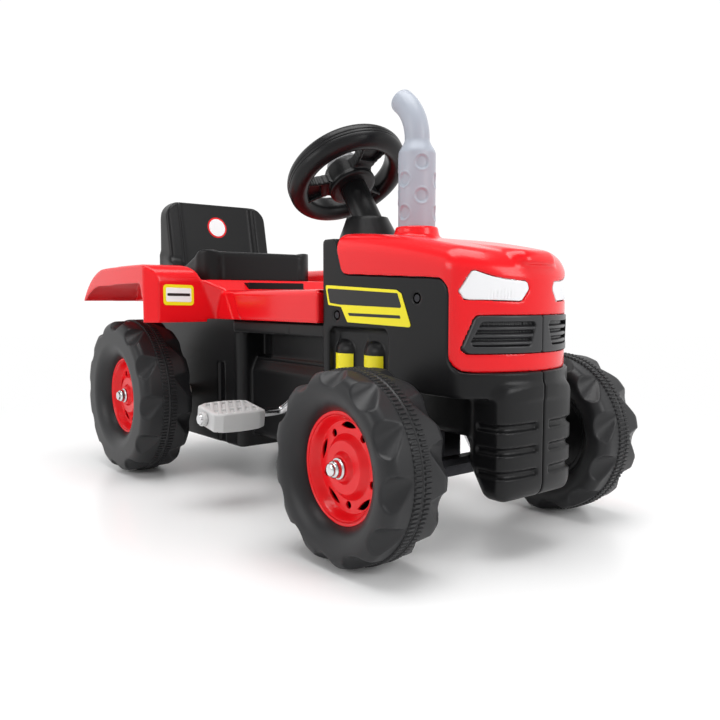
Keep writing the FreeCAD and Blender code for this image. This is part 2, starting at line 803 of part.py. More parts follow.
    # Side recess that holds two moulded bottles.
    recess_low = f"({NOSE} - dims.recess_rear)"
    recess_high = f"({NOSE} - dims.recess_front)"
    floor = "(dims.panel_half_width - dims.recess_depth)"
    sign = "-1" if to_left else "1"
    pad(body, "XZ_Plane", [rectangle(f"{recess_low} - dims.wall", f"{recess_high} + dims.wall",
                                     "dims.panel_bottom", "dims.recess_top + dims.wall")],
        "dims.recess_depth + dims.wall / 2", f"{sign} * ({floor} - dims.wall)", reverse=to_left)
    pocket(body, "XZ_Plane", [rectangle(recess_low, recess_high, "dims.panel_bottom + dims.wall",
                                        "dims.recess_top")],
           "dims.recess_depth + dims.wall", f"{sign} * {floor}", reverse=not to_left)
    for share in ("1", "3"):
        middle = f"({recess_low} + {share} / 4 * (dims.recess_rear - dims.recess_front))"
        bottle = body.newObject("PartDesign::AdditiveCylinder", f"{name}_bottle")
        bottle.setExpression("Radius", "dims.bottle_radius")
        bottle.setExpression("Height", "dims.recess_top - dims.panel_bottom - 6 * dims.wall")
        depth = value(f"{floor} - dims.bottle_radius + dims.recess_depth - dims.wall / 2")
        bottle.Placement = Placement(
            Vector(value(middle), side * depth, value("dims.panel_bottom + dims.wall")), Rotation())
        doc.recompute()
        neck = body.newObject("PartDesign::AdditiveCone", f"{name}_bottle_neck")
        neck.setExpression("Radius1", "dims.bottle_radius - dims.wall")
        neck.setExpression("Radius2", "dims.bottle_radius / 2")
        neck.setExpression("Height", "3 * dims.wall")
        neck.Placement = Placement(
            Vector(value(middle), side * depth, value("dims.recess_top - 3 * dims.wall")), Rotation())
        doc.recompute()
    hollow_bottle = "(dims.panel_half_width - dims.recess_depth - dims.wall)"
    pocket(body, "XZ_Plane", [rectangle(recess_low, recess_high, "dims.panel_bottom + 2 * dims.wall",
                                        "dims.recess_top - dims.wall")], hollow_bottle, reverse=not to_left)
    # Nose grooves that run round from the side to the front.
    heights = [f"(dims.nose_bottom + dims.groove_start + {step} * dims.groove_pitch)"
               for step in range(int(value("dims.groove_count")))]
    side_grooves = [rectangle(f"{NOSE} - dims.nose_depth + 2 * dims.groove_height", f"{NOSE} + dims.wall",
                              f"{height} - dims.groove_height / 2", f"{height} + dims.groove_height / 2")
                    for height in heights]
    pocket(body, "XZ_Plane", side_grooves, "2 * dims.groove_depth",
           f"{sign} * (dims.nose_half_width - dims.groove_depth)", reverse=not to_left)
    front_grooves = [rectangle(f"{side} * dims.groove_height", f"{side} * (dims.nose_half_width + dims.wall)",
                               f"{height} - dims.groove_height / 2", f"{height} + dims.groove_height / 2")
                     for height in heights]
    pocket(body, "YZ_Plane", front_grooves, "2 * dims.groove_depth", f"{NOSE} - dims.groove_depth",
           reverse=True)
    # Bores for the rear axle bush, the crank bush and the steering shaft.
    bores = [("circle", REAR_AXLE, "dims.rear_tyre_radius", "dims.bush_radius"),
             ("circle", CRANK_X, "dims.crank_height", "dims.bush_radius")]
    bores += [("circle", x, z, "dims.screw_radius") for x, z in SCREW_PLACES.values()]
    pocket(body, "XZ_Plane", bores, "dims.track", both=True)
    passage = body.newObject("PartDesign::SubtractiveCylinder", f"{name}_shaft_passage")
    passage.setExpression("Radius", "dims.shaft_radius + 5 * dims.gap")
    passage.setExpression("Height", "dims.shaft_length")
    foot = steering_point("dims.shaft_length + dims.beam_height")
    passage.Placement = Placement(foot, steering_turn())
    doc.recompute()
    return keep(name, body)


def steering_turn():
    """Rotation that leans the steering column back towards the rider."""
    return Rotation(Vector(0, 1, 0), -value("dims.column_tilt"))


def steering_point(down, forward="0"):
    """Point at a distance down the column from the steering wheel's middle, and forward of it."""
    offset = steering_turn().multVec(Vector(value(forward), 0, -value(down)))
    return Vector(value(STEERING_X), 0, value("dims.steering_height")) + offset


for side_name, side in SIDES.items():
    body_half(f"body_{side_name}", side)


# Hood: the red cover over the front section, with windows for the headlamps and the grille.
def hood_solid(name, inset):
    """Solid with the hood's outer form, drawn in by an inset; the form goes down to its lowest edge."""
    body = new_body(name)
    rear = f"({NOSE} - dims.hood_rear_top - 5 * dims.wall)"
    half_width = f"(dims.hood_half_width - ({inset}))"
    bow = f"(dims.hood_bow - ({inset}))"
    corner = f"(dims.hood_corner - ({inset}))"
    (turn_x, turn_y), (corner_x, corner_y) = bowed_corner(half_width, bow, corner)
    pad(body, "XY_Plane", [[
        (rear, f"-{corner_y}"),
        (corner_x, f"-{corner_y}", corner),
        (turn_x, f"-{turn_y}", bow),
        (turn_x, turn_y, corner),
        (corner_x, corner_y),
        (rear, corner_y),
    ]], "dims.hood_top + dims.wall - dims.panel_bottom", "dims.panel_bottom")
    past_front = f"({HOOD_FRONT} + dims.wall)"
    above = "(dims.hood_top + 2 * dims.wall)"
    pocket(body, "XZ_Plane", [[
        (rear, f"dims.hood_top - ({inset})", "-dims.hood_crown_curve"),
        (past_front, f"dims.hood_front_top - ({inset})"),
        (past_front, above),
        (rear, above),
    ]], "3 * dims.hood_half_width", both=True)
    brow = value("dims.hood_front_top - dims.hood_round")
    fillet(body, f"dims.hood_round - ({inset})", lambda edge: edge.CenterOfMass.z > brow
           and edge.CenterOfMass.x > value(rear) + 1)
    return body


def hood_side_outline(gap):
    """Side view of the hood: its lower edge steps over the black panel."""
    step_x = f"({NOSE} - dims.hood_step_front + {gap})"
    step_z = f"(dims.hood_step + {gap})"
    low_z = f"(dims.band_top + {gap})"
    return [
        (f"{NOSE} - dims.hood_rear_low + {gap}", f"(dims.hood_step_rear + {gap})"),
        (f"{step_x} - dims.hood_high_corner", step_z, "-dims.hood_high_corner"),
        (step_x, f"{step_z} - dims.hood_high_corner"),
        (step_x, f"{low_z} + dims.hood_low_corner", "dims.hood_low_corner"),
        (f"{step_x} + dims.hood_low_corner", low_z),
        (f"{NOSE} + dims.wall", low_z),
        (f"{NOSE} + dims.wall", "dims.hood_top + dims.wall"),
        (f"{NOSE} - dims.hood_rear_top + {gap}", "dims.hood_top + dims.wall"),
        (f"{NOSE} - dims.hood_rear_top + {gap}", "dims.panel_top + dims.wall"),
    ]


def lamp_window(name, side, play):
    """Prism through the hood's front corner where a headlamp sits; its rear end comes to a slanted tip."""
    body = new_body(name)
    outer = f"{side} * (dims.hood_half_width + 2 * dims.wall)"
    inner = f"{side} * (dims.lamp_inner + ({play}))"
    low = f"dims.lamp_bottom + ({play})"
    outline = [
        (inner, low),
        (outer, low),
        (outer, f"dims.lamp_bottom + dims.lamp_outer_height - ({play})"),
        (inner, f"dims.lamp_bottom + dims.lamp_inner_height - ({play})"),
    ]
    tip = f"({HOOD_FRONT} - dims.lamp_setback + ({play}))"
    pad(body, "YZ_Plane", [outline], "dims.lamp_setback + 2 * dims.wall", f"{tip} - dims.wall")
    near_middle = value(inner)
    fillet(body, "dims.lamp_round", lambda edge: runs_along(edge, Vector(1, 0, 0))
           and near(edge.CenterOfMass.y, str(near_middle)))
    high = "(dims.lamp_bottom + dims.lamp_outer_height + dims.wall)"
    pocket(body, "XZ_Plane", [[
        (f"{tip} - 2 * dims.wall", high),
        (f"{tip} - 2 * dims.wall", "dims.lamp_bottom - dims.wall"),
        (f"{tip} + dims.lamp_chin", "dims.lamp_bottom - dims.wall"),
        (tip, "dims.lamp_bottom + dims.lamp_tip_height"),
        (f"{tip} + dims.lamp_slant", high),
    ]], "3 * dims.hood_half_width", both=True)
    return body


def grille_window(name, side, play, inner):
    """Prism through the hood's front where one half of the grille shows."""
    body = new_body(name)
    outline = [
        (f"{side} * ({inner})", f"dims.grille_bottom + ({play})"),
        (f"{side} * (dims.grille_half_bottom - ({play}))", f"dims.grille_bottom + ({play})"),
        (f"{side} * (dims.grille_half_top - ({play}))", f"dims.grille_top - ({play})"),
        (f"{side} * ({inner})", f"dims.grille_top - ({play})"),
    ]
    reach = "2 * dims.hood_corner"
    pad(body, "YZ_Plane", [outline], f"{reach} + 3 * dims.wall", f"{HOOD_FRONT} - {reach}")
    fillet(body, "dims.grille_round", lambda edge: runs_along(edge, Vector(1, 0, 0))
           and abs(edge.CenterOfMass.y) > value("dims.grille_half_top / 2"))
    return body


def hood_bulge():
    """Raised middle of the hood's top that swells towards the bowed front."""
    body = new_body("hood_bulge")
    bow = "(dims.hood_bow + dims.bulge_proud)"
    edge_x = f"({HOOD_FRONT} - dims.hood_bow + sqrt({bow} ^ 2 - dims.bulge_half_width ^ 2))"
    rear = f"({HOOD_FRONT} - dims.bulge_rear)"
    pad(body, "XY_Plane", [[
        (rear, "-dims.bulge_half_width"),
        (edge_x, "-dims.bulge_half_width", bow),
        (edge_x, "dims.bulge_half_width"),
        (rear, "dims.bulge_half_width"),
    ]], "dims.bulge_rear_top + dims.wall - dims.bulge_bottom", "dims.bulge_bottom")
    past_front = f"({HOOD_FRONT} + 2 * dims.wall)"
    above = "(dims.bulge_rear_top + 2 * dims.wall)"
    below = "(dims.bulge_bottom - dims.wall)"
    pocket(body, "XZ_Plane", [[
        (rear, "dims.bulge_rear_top", "-dims.bulge_crown"),
        (past_front, "dims.bulge_front_top"),
        (past_front, above),
        (rear, above),
    ], [
        (rear, below),
        (f"{HOOD_FRONT} - dims.bulge_nose", below),
        (f"{HOOD_FRONT} - dims.bulge_nose", "dims.bulge_bottom"),
        (rear, "dims.bulge_rear_top - 2 * dims.wall"),
    ]], "3 * dims.bulge_half_width", both=True)
    front = value(edge_x)
    crease = value("dims.bulge_front_top - dims.bulge_round")
    fillet(body, "dims.bulge_nose", lambda edge: edge.CenterOfMass.x > front and edge.CenterOfMass.z > crease)
    fillet(body, "dims.bulge_round", lambda edge: near(abs(edge.CenterOfMass.y), "dims.bulge_half_width")
           and edge.Curve.TypeId == "Part::GeomCircle")
    return body


def hood_layer(name, window, outside, inside):
    """Layer of the hood's form between two insets, cut out by a window."""
    outer = hood_solid(f"{name}_outside", outside)
    inner = hood_solid(f"{name}_inside", inside)
    return common(name, cut(f"{name}_layer", outer, [inner]), window)


def hood():
    outer = hood_solid("hood_form", "0")
    trimmed = new_body("hood_trim")
    pad(trimmed, "XZ_Plane", [hood_side_outline("dims.gap")], "3 * dims.hood_half_width", both=True)
    skin = common("hood_skin", outer, trimmed)
    collar = doc.addObject("Part::Cone", "exhaust_collar")
    collar.setExpression("Radius1", "dims.collar_radius")
    collar.setExpression("Radius2", "dims.exhaust_radius + dims.wall")
    collar.setExpression("Height", "dims.collar_height")
    place(collar, EXHAUST_X, "0", "dims.collar_base")
    tools = [hood_solid("hood_inside", "dims.hood_wall")]
    for side_name, side in SIDES.items():
        tools.append(lamp_window(f"lamp_hole_{side_name}", side, "0"))
        tools.append(grille_window(f"grille_hole_{side_name}", side, "0", "-dims.wall"))
    shell = cut("hood_shell", skin, tools)
    return keep("hood", fuse("hood", [shell, collar, hood_bulge()]))


hood()
for side_name, side in SIDES.items():
    lens = lamp_window(f"lens_hole_{side_name}", side, "dims.gap")
    keep(f"headlight_lens_{side_name}", hood_layer(f"lens_{side_name}", lens, "0", "dims.lens_thick"))
    tray = hood_layer(f"reflector_tray_{side_name}", lamp_window(f"tray_hole_{side_name}", side, "dims.gap"),
                      "dims.lens_thick + dims.gap", "dims.lamp_depth + dims.lens_thick")
    inside = hood_layer(f"reflector_inside_{side_name}",
                        lamp_window(f"inside_hole_{side_name}", side, "dims.gap + dims.lens_thick"),
                        "0", "dims.lamp_depth")
    keep(f"headlight_reflector_{side_name}", cut(f"reflector_{side_name}", tray, [inside]))
    bars = grille_window(f"grille_bar_{side_name}", side, "dims.gap", "dims.gap / 2")
    keep(f"grille_{side_name}", hood_layer(
        f"grille_layer_{side_name}", bars, "-dims.grille_proud", "dims.hood_wall + dims.grille_proud"))


# Exhaust stack on the hood, its neck bent back towards the rider.
def exhaust():
    body = new_body("exhaust_pipe")
    base = "(dims.collar_base + dims.collar_height)"
    revolve(body, "XZ_Plane", [[
        ("0", base),
        ("dims.exhaust_radius", base),
        ("dims.exhaust_radius", "dims.exhaust_shoulder"),
        ("dims.exhaust_neck_radius", "dims.exhaust_neck"),
        ("0", "dims.exhaust_neck"),
    ]], "Z_Axis")
    spine = body.newObject("Sketcher::SketchObject", "exhaust_spine")
    spine.AttachmentSupport = [(origin_item(body, "XZ_Plane"), "")]
    spine.MapMode = "FlatFace"
    bend = value("dims.exhaust_bend")
    turn = math.radians(value("dims.exhaust_turn"))
    start = value("dims.exhaust_neck")
    points = [Vector(-bend * (1 - math.cos(step)), start + bend * math.sin(step), 0)
              for step in (0, turn / 2, turn)]
    spine.addGeometry(Part.Arc(*points), False)
    tip = points[-1] + Vector(-math.sin(turn), math.cos(turn), 0) * value("dims.exhaust_tip")
    spine.addGeometry(Part.LineSegment(points[-1], tip), False)
    neck = body.newObject("PartDesign::AdditivePipe", "exhaust_neck_pipe")
    neck.Profile = sketch(body, "XY_Plane", [("circle", "0", "0", "dims.exhaust_neck_radius")],
                          "dims.exhaust_neck")
    neck.Spine = (spine, ["Edge1", "Edge2"])
    doc.recompute()
    place(body, EXHAUST_X)
    dimples = []
    columns = int(value("dims.dimple_columns"))
    pitch = value("dims.dimple_pitch")
    for column in range(columns):
        turned = Rotation(Vector(0, 0, 1), column * 360 / columns + value("dims.dimple_turn"))
        height = value(f"{base} + dims.dimple_first") + column % 2 * pitch / 2
        while height < value("dims.exhaust_shoulder - dims.dimple_radius"):
            dimple = doc.addObject("Part::Cylinder", f"dimple_{len(dimples)}")
            dimple.setExpression("Radius", "dims.dimple_radius")
            dimple.setExpression("Height", "dims.exhaust_radius")
            start = turned.multVec(Vector(value("dims.exhaust_radius - dims.dimple_depth"), 0, height))
            dimple.Placement = Placement(Vector(value(EXHAUST_X), 0, 0) + start,
                                         turned.multiply(Rotation(Vector(0, 1, 0), 90)))
            dimples.append(dimple)
            height += pitch
    return keep("exhaust_pipe", cut("exhaust_dimpled", body, dimples))


exhaust()


# Steering: wheel, horn button and one bent shaft that ends in a throw over the tie rod.
def settle(item, placement):
    """Give a plain solid a fixed placement in place of its placement expressions."""
    for axis in "xyz":
        item.setExpression(f"Placement.Base.{axis}", None)
    item.Placement = placement
    return item


def on_column(item, down="0"):
    """Place a piece that was drawn about the column's own axis."""
    return settle(item, Placement(steering_point(down), steering_turn()))


def steering_wheel():
    ring = new_body("steering_ring")
    inner = "(dims.steering_radius - dims.grip_radius)"
    outer = "(dims.steering_radius + dims.grip_radius)"
    straight = "(dims.grip_height - dims.grip_radius)"
    revolve(ring, "XZ_Plane", [[
        (inner, f"-{straight}", "dims.grip_radius"),
        ("dims.steering_radius", "-dims.grip_height", "dims.grip_radius"),
        (outer, f"-{straight}"),
        (outer, straight, "dims.grip_radius"),
        ("dims.steering_radius", "dims.grip_height", "dims.grip_radius"),
        (inner, straight),
    ]], "Z_Axis")
    hub = cylinder("steering_hub", "dims.steering_hub_radius", "dims.steering_hub_height",
                   z="-dims.steering_hub_drop")
    parts = [ring, hub]
    count = int(value("dims.spoke_count"))
    for number in range(count):
        spoke = box(f"steering_spoke_{number}", ("0", "dims.steering_radius"),
                    ("-dims.spoke_width / 2", "dims.spoke_width / 2"),
                    ("-dims.spoke_thick", "0"))
        turn = Rotation(Vector(0, 0, 1), number * 360 / count)
        low = Vector(0, -value("dims.spoke_width / 2"), -value("dims.spoke_thick"))
        parts.append(settle(spoke, Placement(turn.multVec(low), turn)))
    whole = fuse("steering_solid", parts)
    top = "(dims.steering_hub_height - dims.steering_hub_drop)"
    seat = cylinder("horn_seat", "dims.horn_radius + dims.gap", "dims.steering_hub_height",
                    z=f"{top} - dims.horn_travel - 2 * dims.wall")
    bore = cylinder("steering_bore", "dims.shaft_radius + dims.snug", "dims.steering_hub_height",
                    z="-dims.steering_hub_drop - dims.wall")
    made = cut("steering_wheel", whole, [seat, bore])
    return keep("steering_wheel", on_column(made))


def horn_button():
    body = new_body("horn_button")
    top = "(dims.steering_hub_height - dims.steering_hub_drop)"
    low = f"({top} - dims.wall)"
    high = f"({top} + dims.horn_height)"
    revolve(body, "XZ_Plane", [[
        ("0", low),
        ("dims.horn_radius", low),
        ("dims.horn_radius", f"{high} - dims.wall"),
        ("dims.horn_radius - dims.wall", high),
        ("0", high),
    ]], "Z_Axis")
    return keep("horn_button", on_column(body))


def steering_shaft():
    """Steel rod down the column, bent forward at its foot into a throw and a pin over the tie rod."""
    points = [
        steering_point("0"),
        steering_point("dims.shaft_length"),
        steering_point("dims.shaft_length", "dims.crank_throw"),
        steering_point("dims.shaft_length + dims.pin_drop", "dims.crank_throw"),
    ]
    return keep("steering_shaft", bent_rod("steering_shaft", points, value("dims.shaft_radius"),
                                           value("dims.shaft_bend")))


def steering_sleeve():
    """Plastic sleeve round the shaft between the steering wheel and the cowl."""
    tube = cylinder("sleeve_tube", "dims.column_sleeve_radius", "dims.sleeve_length")
    hole = cylinder("sleeve_hole", "dims.shaft_radius + dims.gap", "2 * dims.sleeve_length",
                    z="-dims.sleeve_length / 2")
    made = cut("column_sleeve", tube, [hole])
    return keep("column_sleeve", on_column(made, "dims.steering_hub_drop + dims.gap + dims.sleeve_length"))


def steering_cowl():
    """Tapered dash cowl that carries the column behind the hood."""
    body = new_body("steering_cowl")
    base = "dims.panel_top + dims.gap"
    centre = f"({NOSE} - dims.hood_rear_top - dims.cowl_base_radius - dims.gap)"
    loft = body.newObject("PartDesign::AdditiveLoft", "cowl_loft")
    loft.Profile = sketch(body, "XY_Plane", [("circle", centre, "0", "dims.cowl_base_radius")], base)
    axis_x = steering_point("(dims.steering_height - dims.cowl_top) / cos(dims.column_tilt)").x
    loft.Sections = [sketch(body, "XY_Plane", [("circle", str(axis_x), "0", "dims.cowl_top_radius")],
                            "dims.cowl_top")]
    doc.recompute()
    skirt = [
        (f"{PANEL_REAR} - dims.gap", base),
        (f"{centre} - dims.cowl_base_radius + dims.wall", base),
        (f"{PANEL_REAR} - 4 * dims.wall", "dims.cowl_bottom"),
        (f"{PANEL_REAR} - dims.gap", "dims.cowl_bottom"),
    ]
    pad(body, "XZ_Plane", [skirt], "1.5 * dims.cowl_base_radius", both=True)
    hole = cylinder("cowl_hole", "dims.column_sleeve_radius + dims.gap", "dims.shaft_length")
    on_column(hole, "dims.shaft_length")
    return keep("steering_cowl", cut("cowl", body, [hole]))


steering_wheel()
horn_button()
steering_shaft()
steering_cowl()
steering_sleeve()


# Red deck with both mudguards, one moulding that lies on the black body behind the hood.
FENDER_FRONT = f"({REAR_AXLE} + dims.fender_front)"
DECK_FRONT = f"({PANEL_REAR} - dims.wall - dims.gap)"


def rear_deck():
    body = new_body("rear_deck")
    base = "(dims.body_top + dims.gap)"
    skin = "dims.deck_wall"

    def level(low_x, high_x, top, half_width):
        pad(body, "XZ_Plane", [[(low_x, base), (high_x, base), (high_x, top), (low_x, top)]],
            f"2 * ({half_width})", both=True)

    def hollow(low_x, high_x, top, half_width):
        low = f"({base} - dims.wall)"
        pocket(body, "XZ_Plane", [[(low_x, low), (high_x, low), (high_x, top), (low_x, top)]],
               f"2 * ({half_width})", both=True)

    saddle_half = "(dims.seat_half_width + 2 * dims.deck_wall)"
    saddle_rear = f"({TAIL} + 4 * dims.deck_wall)"
    level(f"{FENDER_FRONT} - dims.wall", DECK_FRONT, "dims.deck_top", "dims.deck_half_width")
    fillet(body, "dims.deck_round", lambda edge: runs_along(edge, Vector(1, 0, 0))
           and near(edge.CenterOfMass.z, "dims.deck_top"))
    level(saddle_rear, FENDER_FRONT, "dims.saddle_top", saddle_half)
    top = "dims.fender_top"
    lip = "dims.fender_lip"

    def arch(inset, low_front, low):
        """Side view of a mudguard; the lower edge follows its lip, or runs straight for the inside."""
        front = f"({FENDER_FRONT} - ({inset}))"
        crest = f"({top} - ({inset}))"
        tail = f"({TAIL} + ({inset}))"
        upper = [
            (front, low_front),
            (front, f"{crest} - dims.fender_brow", "dims.fender_brow_round"),
            (f"{front} - dims.fender_brow", crest, "dims.fender_crown_curve"),
            (f"{REAR_AXLE} - dims.fender_rear_crest", f"{crest} - dims.deck_wall", "dims.tail_overhang"),
            (tail, f"dims.fender_tip - ({inset})"),
        ]
        return upper + low

    lip_line = [
        (f"{TAIL} + 3 * dims.deck_wall", "dims.fender_tip", "-dims.tail_overhang"),
        (f"{REAR_AXLE} - dims.fender_rear_crest", f"{top} - {lip} - dims.deck_wall"),
        (f"{FENDER_FRONT} - dims.fender_brow", f"{top} - {lip}"),
        (f"{FENDER_FRONT} - dims.fender_lip / 2", f"{top} - 2 * {lip}"),
        (f"{FENDER_FRONT} - dims.fender_lip / 2", "dims.fender_front_low"),
    ]
    root = f"({saddle_half} - dims.deck_wall / 2)"
    depth = f"(dims.fender_outer - {root})"
    for side in SIDES.values():
        sign = -side
        pad(body, "XZ_Plane", [arch("0", "dims.fender_front_low", lip_line)], depth,
            f"{sign} * {root}", reverse=side == LEFT)
    far = "(dims.fender_front_low - dims.wall)"
    inside = [(f"{TAIL} + {skin}", far)]
    for side in SIDES.values():
        sign = -side
        pocket(body, "XZ_Plane", [arch(skin, far, inside)], f"{depth} - 2 * {skin}",
               f"{sign} * ({root} + {skin})", reverse=side == RIGHT)
    hollow(f"{FENDER_FRONT} - 3 * dims.wall", f"{DECK_FRONT} - {skin}", f"dims.deck_top - {skin}",
           f"dims.deck_half_width - {skin} - dims.deck_round / 3")
    hollow(f"{saddle_rear} + {skin}", f"{FENDER_FRONT} - {skin}", f"dims.saddle_top - {skin}",
           f"{saddle_half} - {skin}")
    return keep("rear_deck", body)


rear_deck()
keep("seat_latch", box("seat_latch", (FENDER_FRONT, f"{FENDER_FRONT} + dims.latch_depth"),
                       ("-dims.rail_half_width", "dims.rail_half_width"),
                       ("dims.deck_top", "dims.saddle_top - dims.wall")))


# Seat: one blow-moulded bucket with a low pan, raised rim and leaning backrest.
def seat():
    body = new_body("seat")
    front = f"({REAR_AXLE} + dims.seat_front)"
    rear = f"({front} - dims.seat_depth)"
    half = "(2 * dims.seat_half_width)"
    pad(body, "XZ_Plane", [[
        (f"{front} - 2 * dims.wall", "dims.saddle_top + dims.seat_play"),
        (front, "dims.saddle_top + dims.seat_play + 3 * dims.wall"),
        (front, "dims.seat_rim - 3 * dims.wall"),
        (f"{front} - 3 * dims.wall", "dims.seat_rim"),
        (rear, "dims.seat_rim"),
        (rear, "dims.saddle_top + dims.seat_play"),
    ]], half, both=True)
    fillet(body, "dims.seat_corner", lambda edge: runs_along(edge, Vector(0, 0, 1)))
    back_foot = f"({rear} + dims.back_thick)"
    pad(body, "XZ_Plane", [[
        (f"{back_foot} + dims.back_lean", "dims.saddle_top + dims.seat_play + dims.wall"),
        (f"{back_foot}", "dims.back_top"),
        (f"{back_foot} - dims.back_thick", "dims.back_top"),
        (f"{rear} - dims.wall", "dims.saddle_top + dims.seat_play + dims.wall"),
    ]], "2 * dims.back_half_width", both=True)
    fillet(body, "dims.back_corner", lambda edge: near(edge.CenterOfMass.z, "dims.back_top")
           and near(abs(edge.CenterOfMass.y), "dims.back_half_width"))
    inner = "(dims.seat_half_width - dims.seat_bolster)"
    floor = "(dims.seat_rim - dims.seat_dish)"
    pocket(body, "XZ_Plane", [[
        (f"{front} - dims.seat_bolster", floor),
        (f"{front} - dims.seat_bolster / 2", "dims.back_top + dims.wall"),
        (f"{back_foot}", "dims.back_top + dims.wall"),
        (f"{back_foot} + dims.back_lean - dims.pan_rear", floor),
    ]], f"2 * {inner}", both=True)
    pocket(body, "XZ_Plane", [[
        (f"{front} - 3 * dims.wall", "dims.saddle_top"),
        (f"{front} - 3 * dims.wall", f"{floor} - dims.wall"),
        (f"{rear} + 2 * dims.wall", f"{floor} - dims.wall"),
        (f"{rear} + 2 * dims.wall", "dims.saddle_top"),
    ]], "2 * (dims.seat_half_width - dims.seat_corner / 2)", both=True)
    return keep("seat", body)


seat()


# Front axle: a flat beam under the body with a kingpin at each end, and knuckles joined by a tie rod.
BEAM_TOP = "(dims.beam_bottom + dims.beam_height)"
KNUCKLE_TOP = "(dims.front_tyre_radius + dims.knuckle_rise)"
TIE_X = f"({FRONT_AXLE} + dims.knuckle_arm)"
TIE_TOP = "(dims.front_tyre_radius + dims.gap / 2)"
TIE_LOW = f"({TIE_TOP} - dims.tie_rod_height)"


def front_axle_beam():
    reach = "(dims.kingpin_half_track + dims.beam_depth / 2)"
    beam = box("beam_bar", (f"{FRONT_AXLE} - dims.beam_depth / 2", f"{FRONT_AXLE} + dims.beam_depth / 2"),
               (f"-{reach}", reach), ("dims.beam_bottom", BEAM_TOP))
    solids = [beam]
    for side_name, side in SIDES.items():
        inner = f"{side} * dims.beam_depth"
        outer = f"{side} * 2 * dims.beam_depth"
        low, high = (inner, outer) if side == LEFT else (outer, inner)
        solids.append(box(f"beam_post_{side_name}",
                          (f"{FRONT_AXLE} - dims.beam_depth / 2", f"{FRONT_AXLE} + dims.beam_depth / 2"),
                          (low, high), ("dims.beam_bottom", "dims.core_bottom")))
    holes = [cylinder(f"beam_hole_{side_name}", "dims.kingpin_radius + dims.gap / 4", "3 * dims.beam_height",
                      FRONT_AXLE, f"{side} * dims.kingpin_half_track", "dims.beam_bottom - dims.beam_height")
             for side_name, side in SIDES.items()]
    return keep("front_axle_beam", cut("front_axle_beam", fuse("beam_solid", solids), holes))


def kingpin(side_name, side):
    y = f"{side} * dims.kingpin_half_track"
    low = "(dims.beam_bottom - dims.kingpin_radius)"
    shank = cylinder(f"kingpin_shank_{side_name}", "dims.kingpin_radius",
                     f"{KNUCKLE_TOP} + dims.gap + dims.kingpin_radius - {low}", FRONT_AXLE, y, low)
    head = cylinder(f"kingpin_head_{side_name}", "dims.kingpin_head_radius", "dims.kingpin_radius",
                    FRONT_AXLE, y, f"{KNUCKLE_TOP} + dims.gap")
    nut = cylinder(f"kingpin_nut_{side_name}", "dims.kingpin_head_radius", "dims.kingpin_radius",
                   FRONT_AXLE, y, low)
    return keep(f"kingpin_{side_name}", fuse(f"kingpin_{side_name}", [shank, head, nut]))


def knuckle(side_name, side):
    """Sleeve on the kingpin with the stub axle, the steering arm and the arm's tie-rod pin."""
    y = f"{side} * dims.kingpin_half_track"
    spin = (Vector(-side, 0, 0), "90")
    sleeve = cylinder(f"knuckle_sleeve_{side_name}", "dims.knuckle_radius",
                      f"{KNUCKLE_TOP} - {BEAM_TOP} - dims.gap", FRONT_AXLE, y, f"{BEAM_TOP} + dims.gap")
    stub = cylinder(f"stub_axle_{side_name}", "dims.axle_radius", f"{AXLE_REACH} - dims.kingpin_half_track",
                    FRONT_AXLE, y, "dims.front_tyre_radius", spin)
    shoulder = f"dims.track / 2 - {INNER_FACE} - dims.gap - dims.kingpin_half_track"
    collar = cylinder(f"stub_collar_{side_name}", "dims.axle_radius + dims.spacer_reach", shoulder,
                      FRONT_AXLE, y, "dims.front_tyre_radius", spin)
    arm_low = f"({TIE_TOP} + dims.gap)"
    half = "dims.arm_half_width"
    arm = box(f"steering_arm_{side_name}", (FRONT_AXLE, f"{TIE_X} + {half}"),
              (f"{y} - {half}", f"{y} + {half}"), (arm_low, f"{arm_low} + dims.tie_rod_height"))
    pin_low = f"({TIE_LOW} - dims.gap - dims.kingpin_radius)"
    pin = cylinder(f"arm_pin_{side_name}", "dims.arm_pin_radius", f"{arm_low} - {pin_low} + dims.wall",
                   TIE_X, y, pin_low)
    head = cylinder(f"arm_pin_head_{side_name}", "dims.arm_pin_head_radius", "dims.kingpin_radius",
                    TIE_X, y, pin_low)
    solid = fuse(f"knuckle_solid_{side_name}", [sleeve, stub, collar, arm, pin, head])
    bore = cylinder(f"knuckle_bore_{side_name}", "dims.kingpin_radius + dims.gap", "4 * dims.knuckle_radius",
                    FRONT_AXLE, y, BEAM_TOP)
    return keep(f"knuckle_{side_name}", cut(f"knuckle_{side_name}", solid, [bore]))


def tie_rod():
    end = "dims.kingpin_half_track + dims.tie_end"
    half = "dims.tie_half_depth"
    fork = "(dims.shaft_radius + dims.tie_play)"
    bar = box("tie_bar", (f"{TIE_X} - {half}", f"{TIE_X} + {half}"), (f"-({end})", end), (TIE_LOW, TIE_TOP))
    plate = box("tie_plate", (f"{TIE_X} - {half}", f"{TIE_X} + dims.fork_front + dims.wall"),
                (f"-{fork} - {half}", f"{fork} + {half}"), (TIE_LOW, TIE_TOP))
    tools = [box("tie_fork", (f"{TIE_X} - 2 * {half}", f"{TIE_X} + dims.fork_front"),
                 (f"-{fork}", fork), (f"{TIE_LOW} - dims.wall", f"{TIE_TOP} + dims.wall"))]
    for side_name, side in SIDES.items():
        tools.append(cylinder(f"tie_hole_{side_name}", "dims.arm_pin_radius + dims.gap",
                              "3 * dims.tie_rod_height", TIE_X, f"{side} * dims.kingpin_half_track",
                              f"{TIE_LOW} - dims.tie_rod_height"))
    return keep("tie_rod", cut("tie_rod", fuse("tie_solid", [bar, plate]), tools))


front_axle_beam()
for side_name, side in SIDES.items():
    kingpin(side_name, side)
    knuckle(side_name, side)
tie_rod()


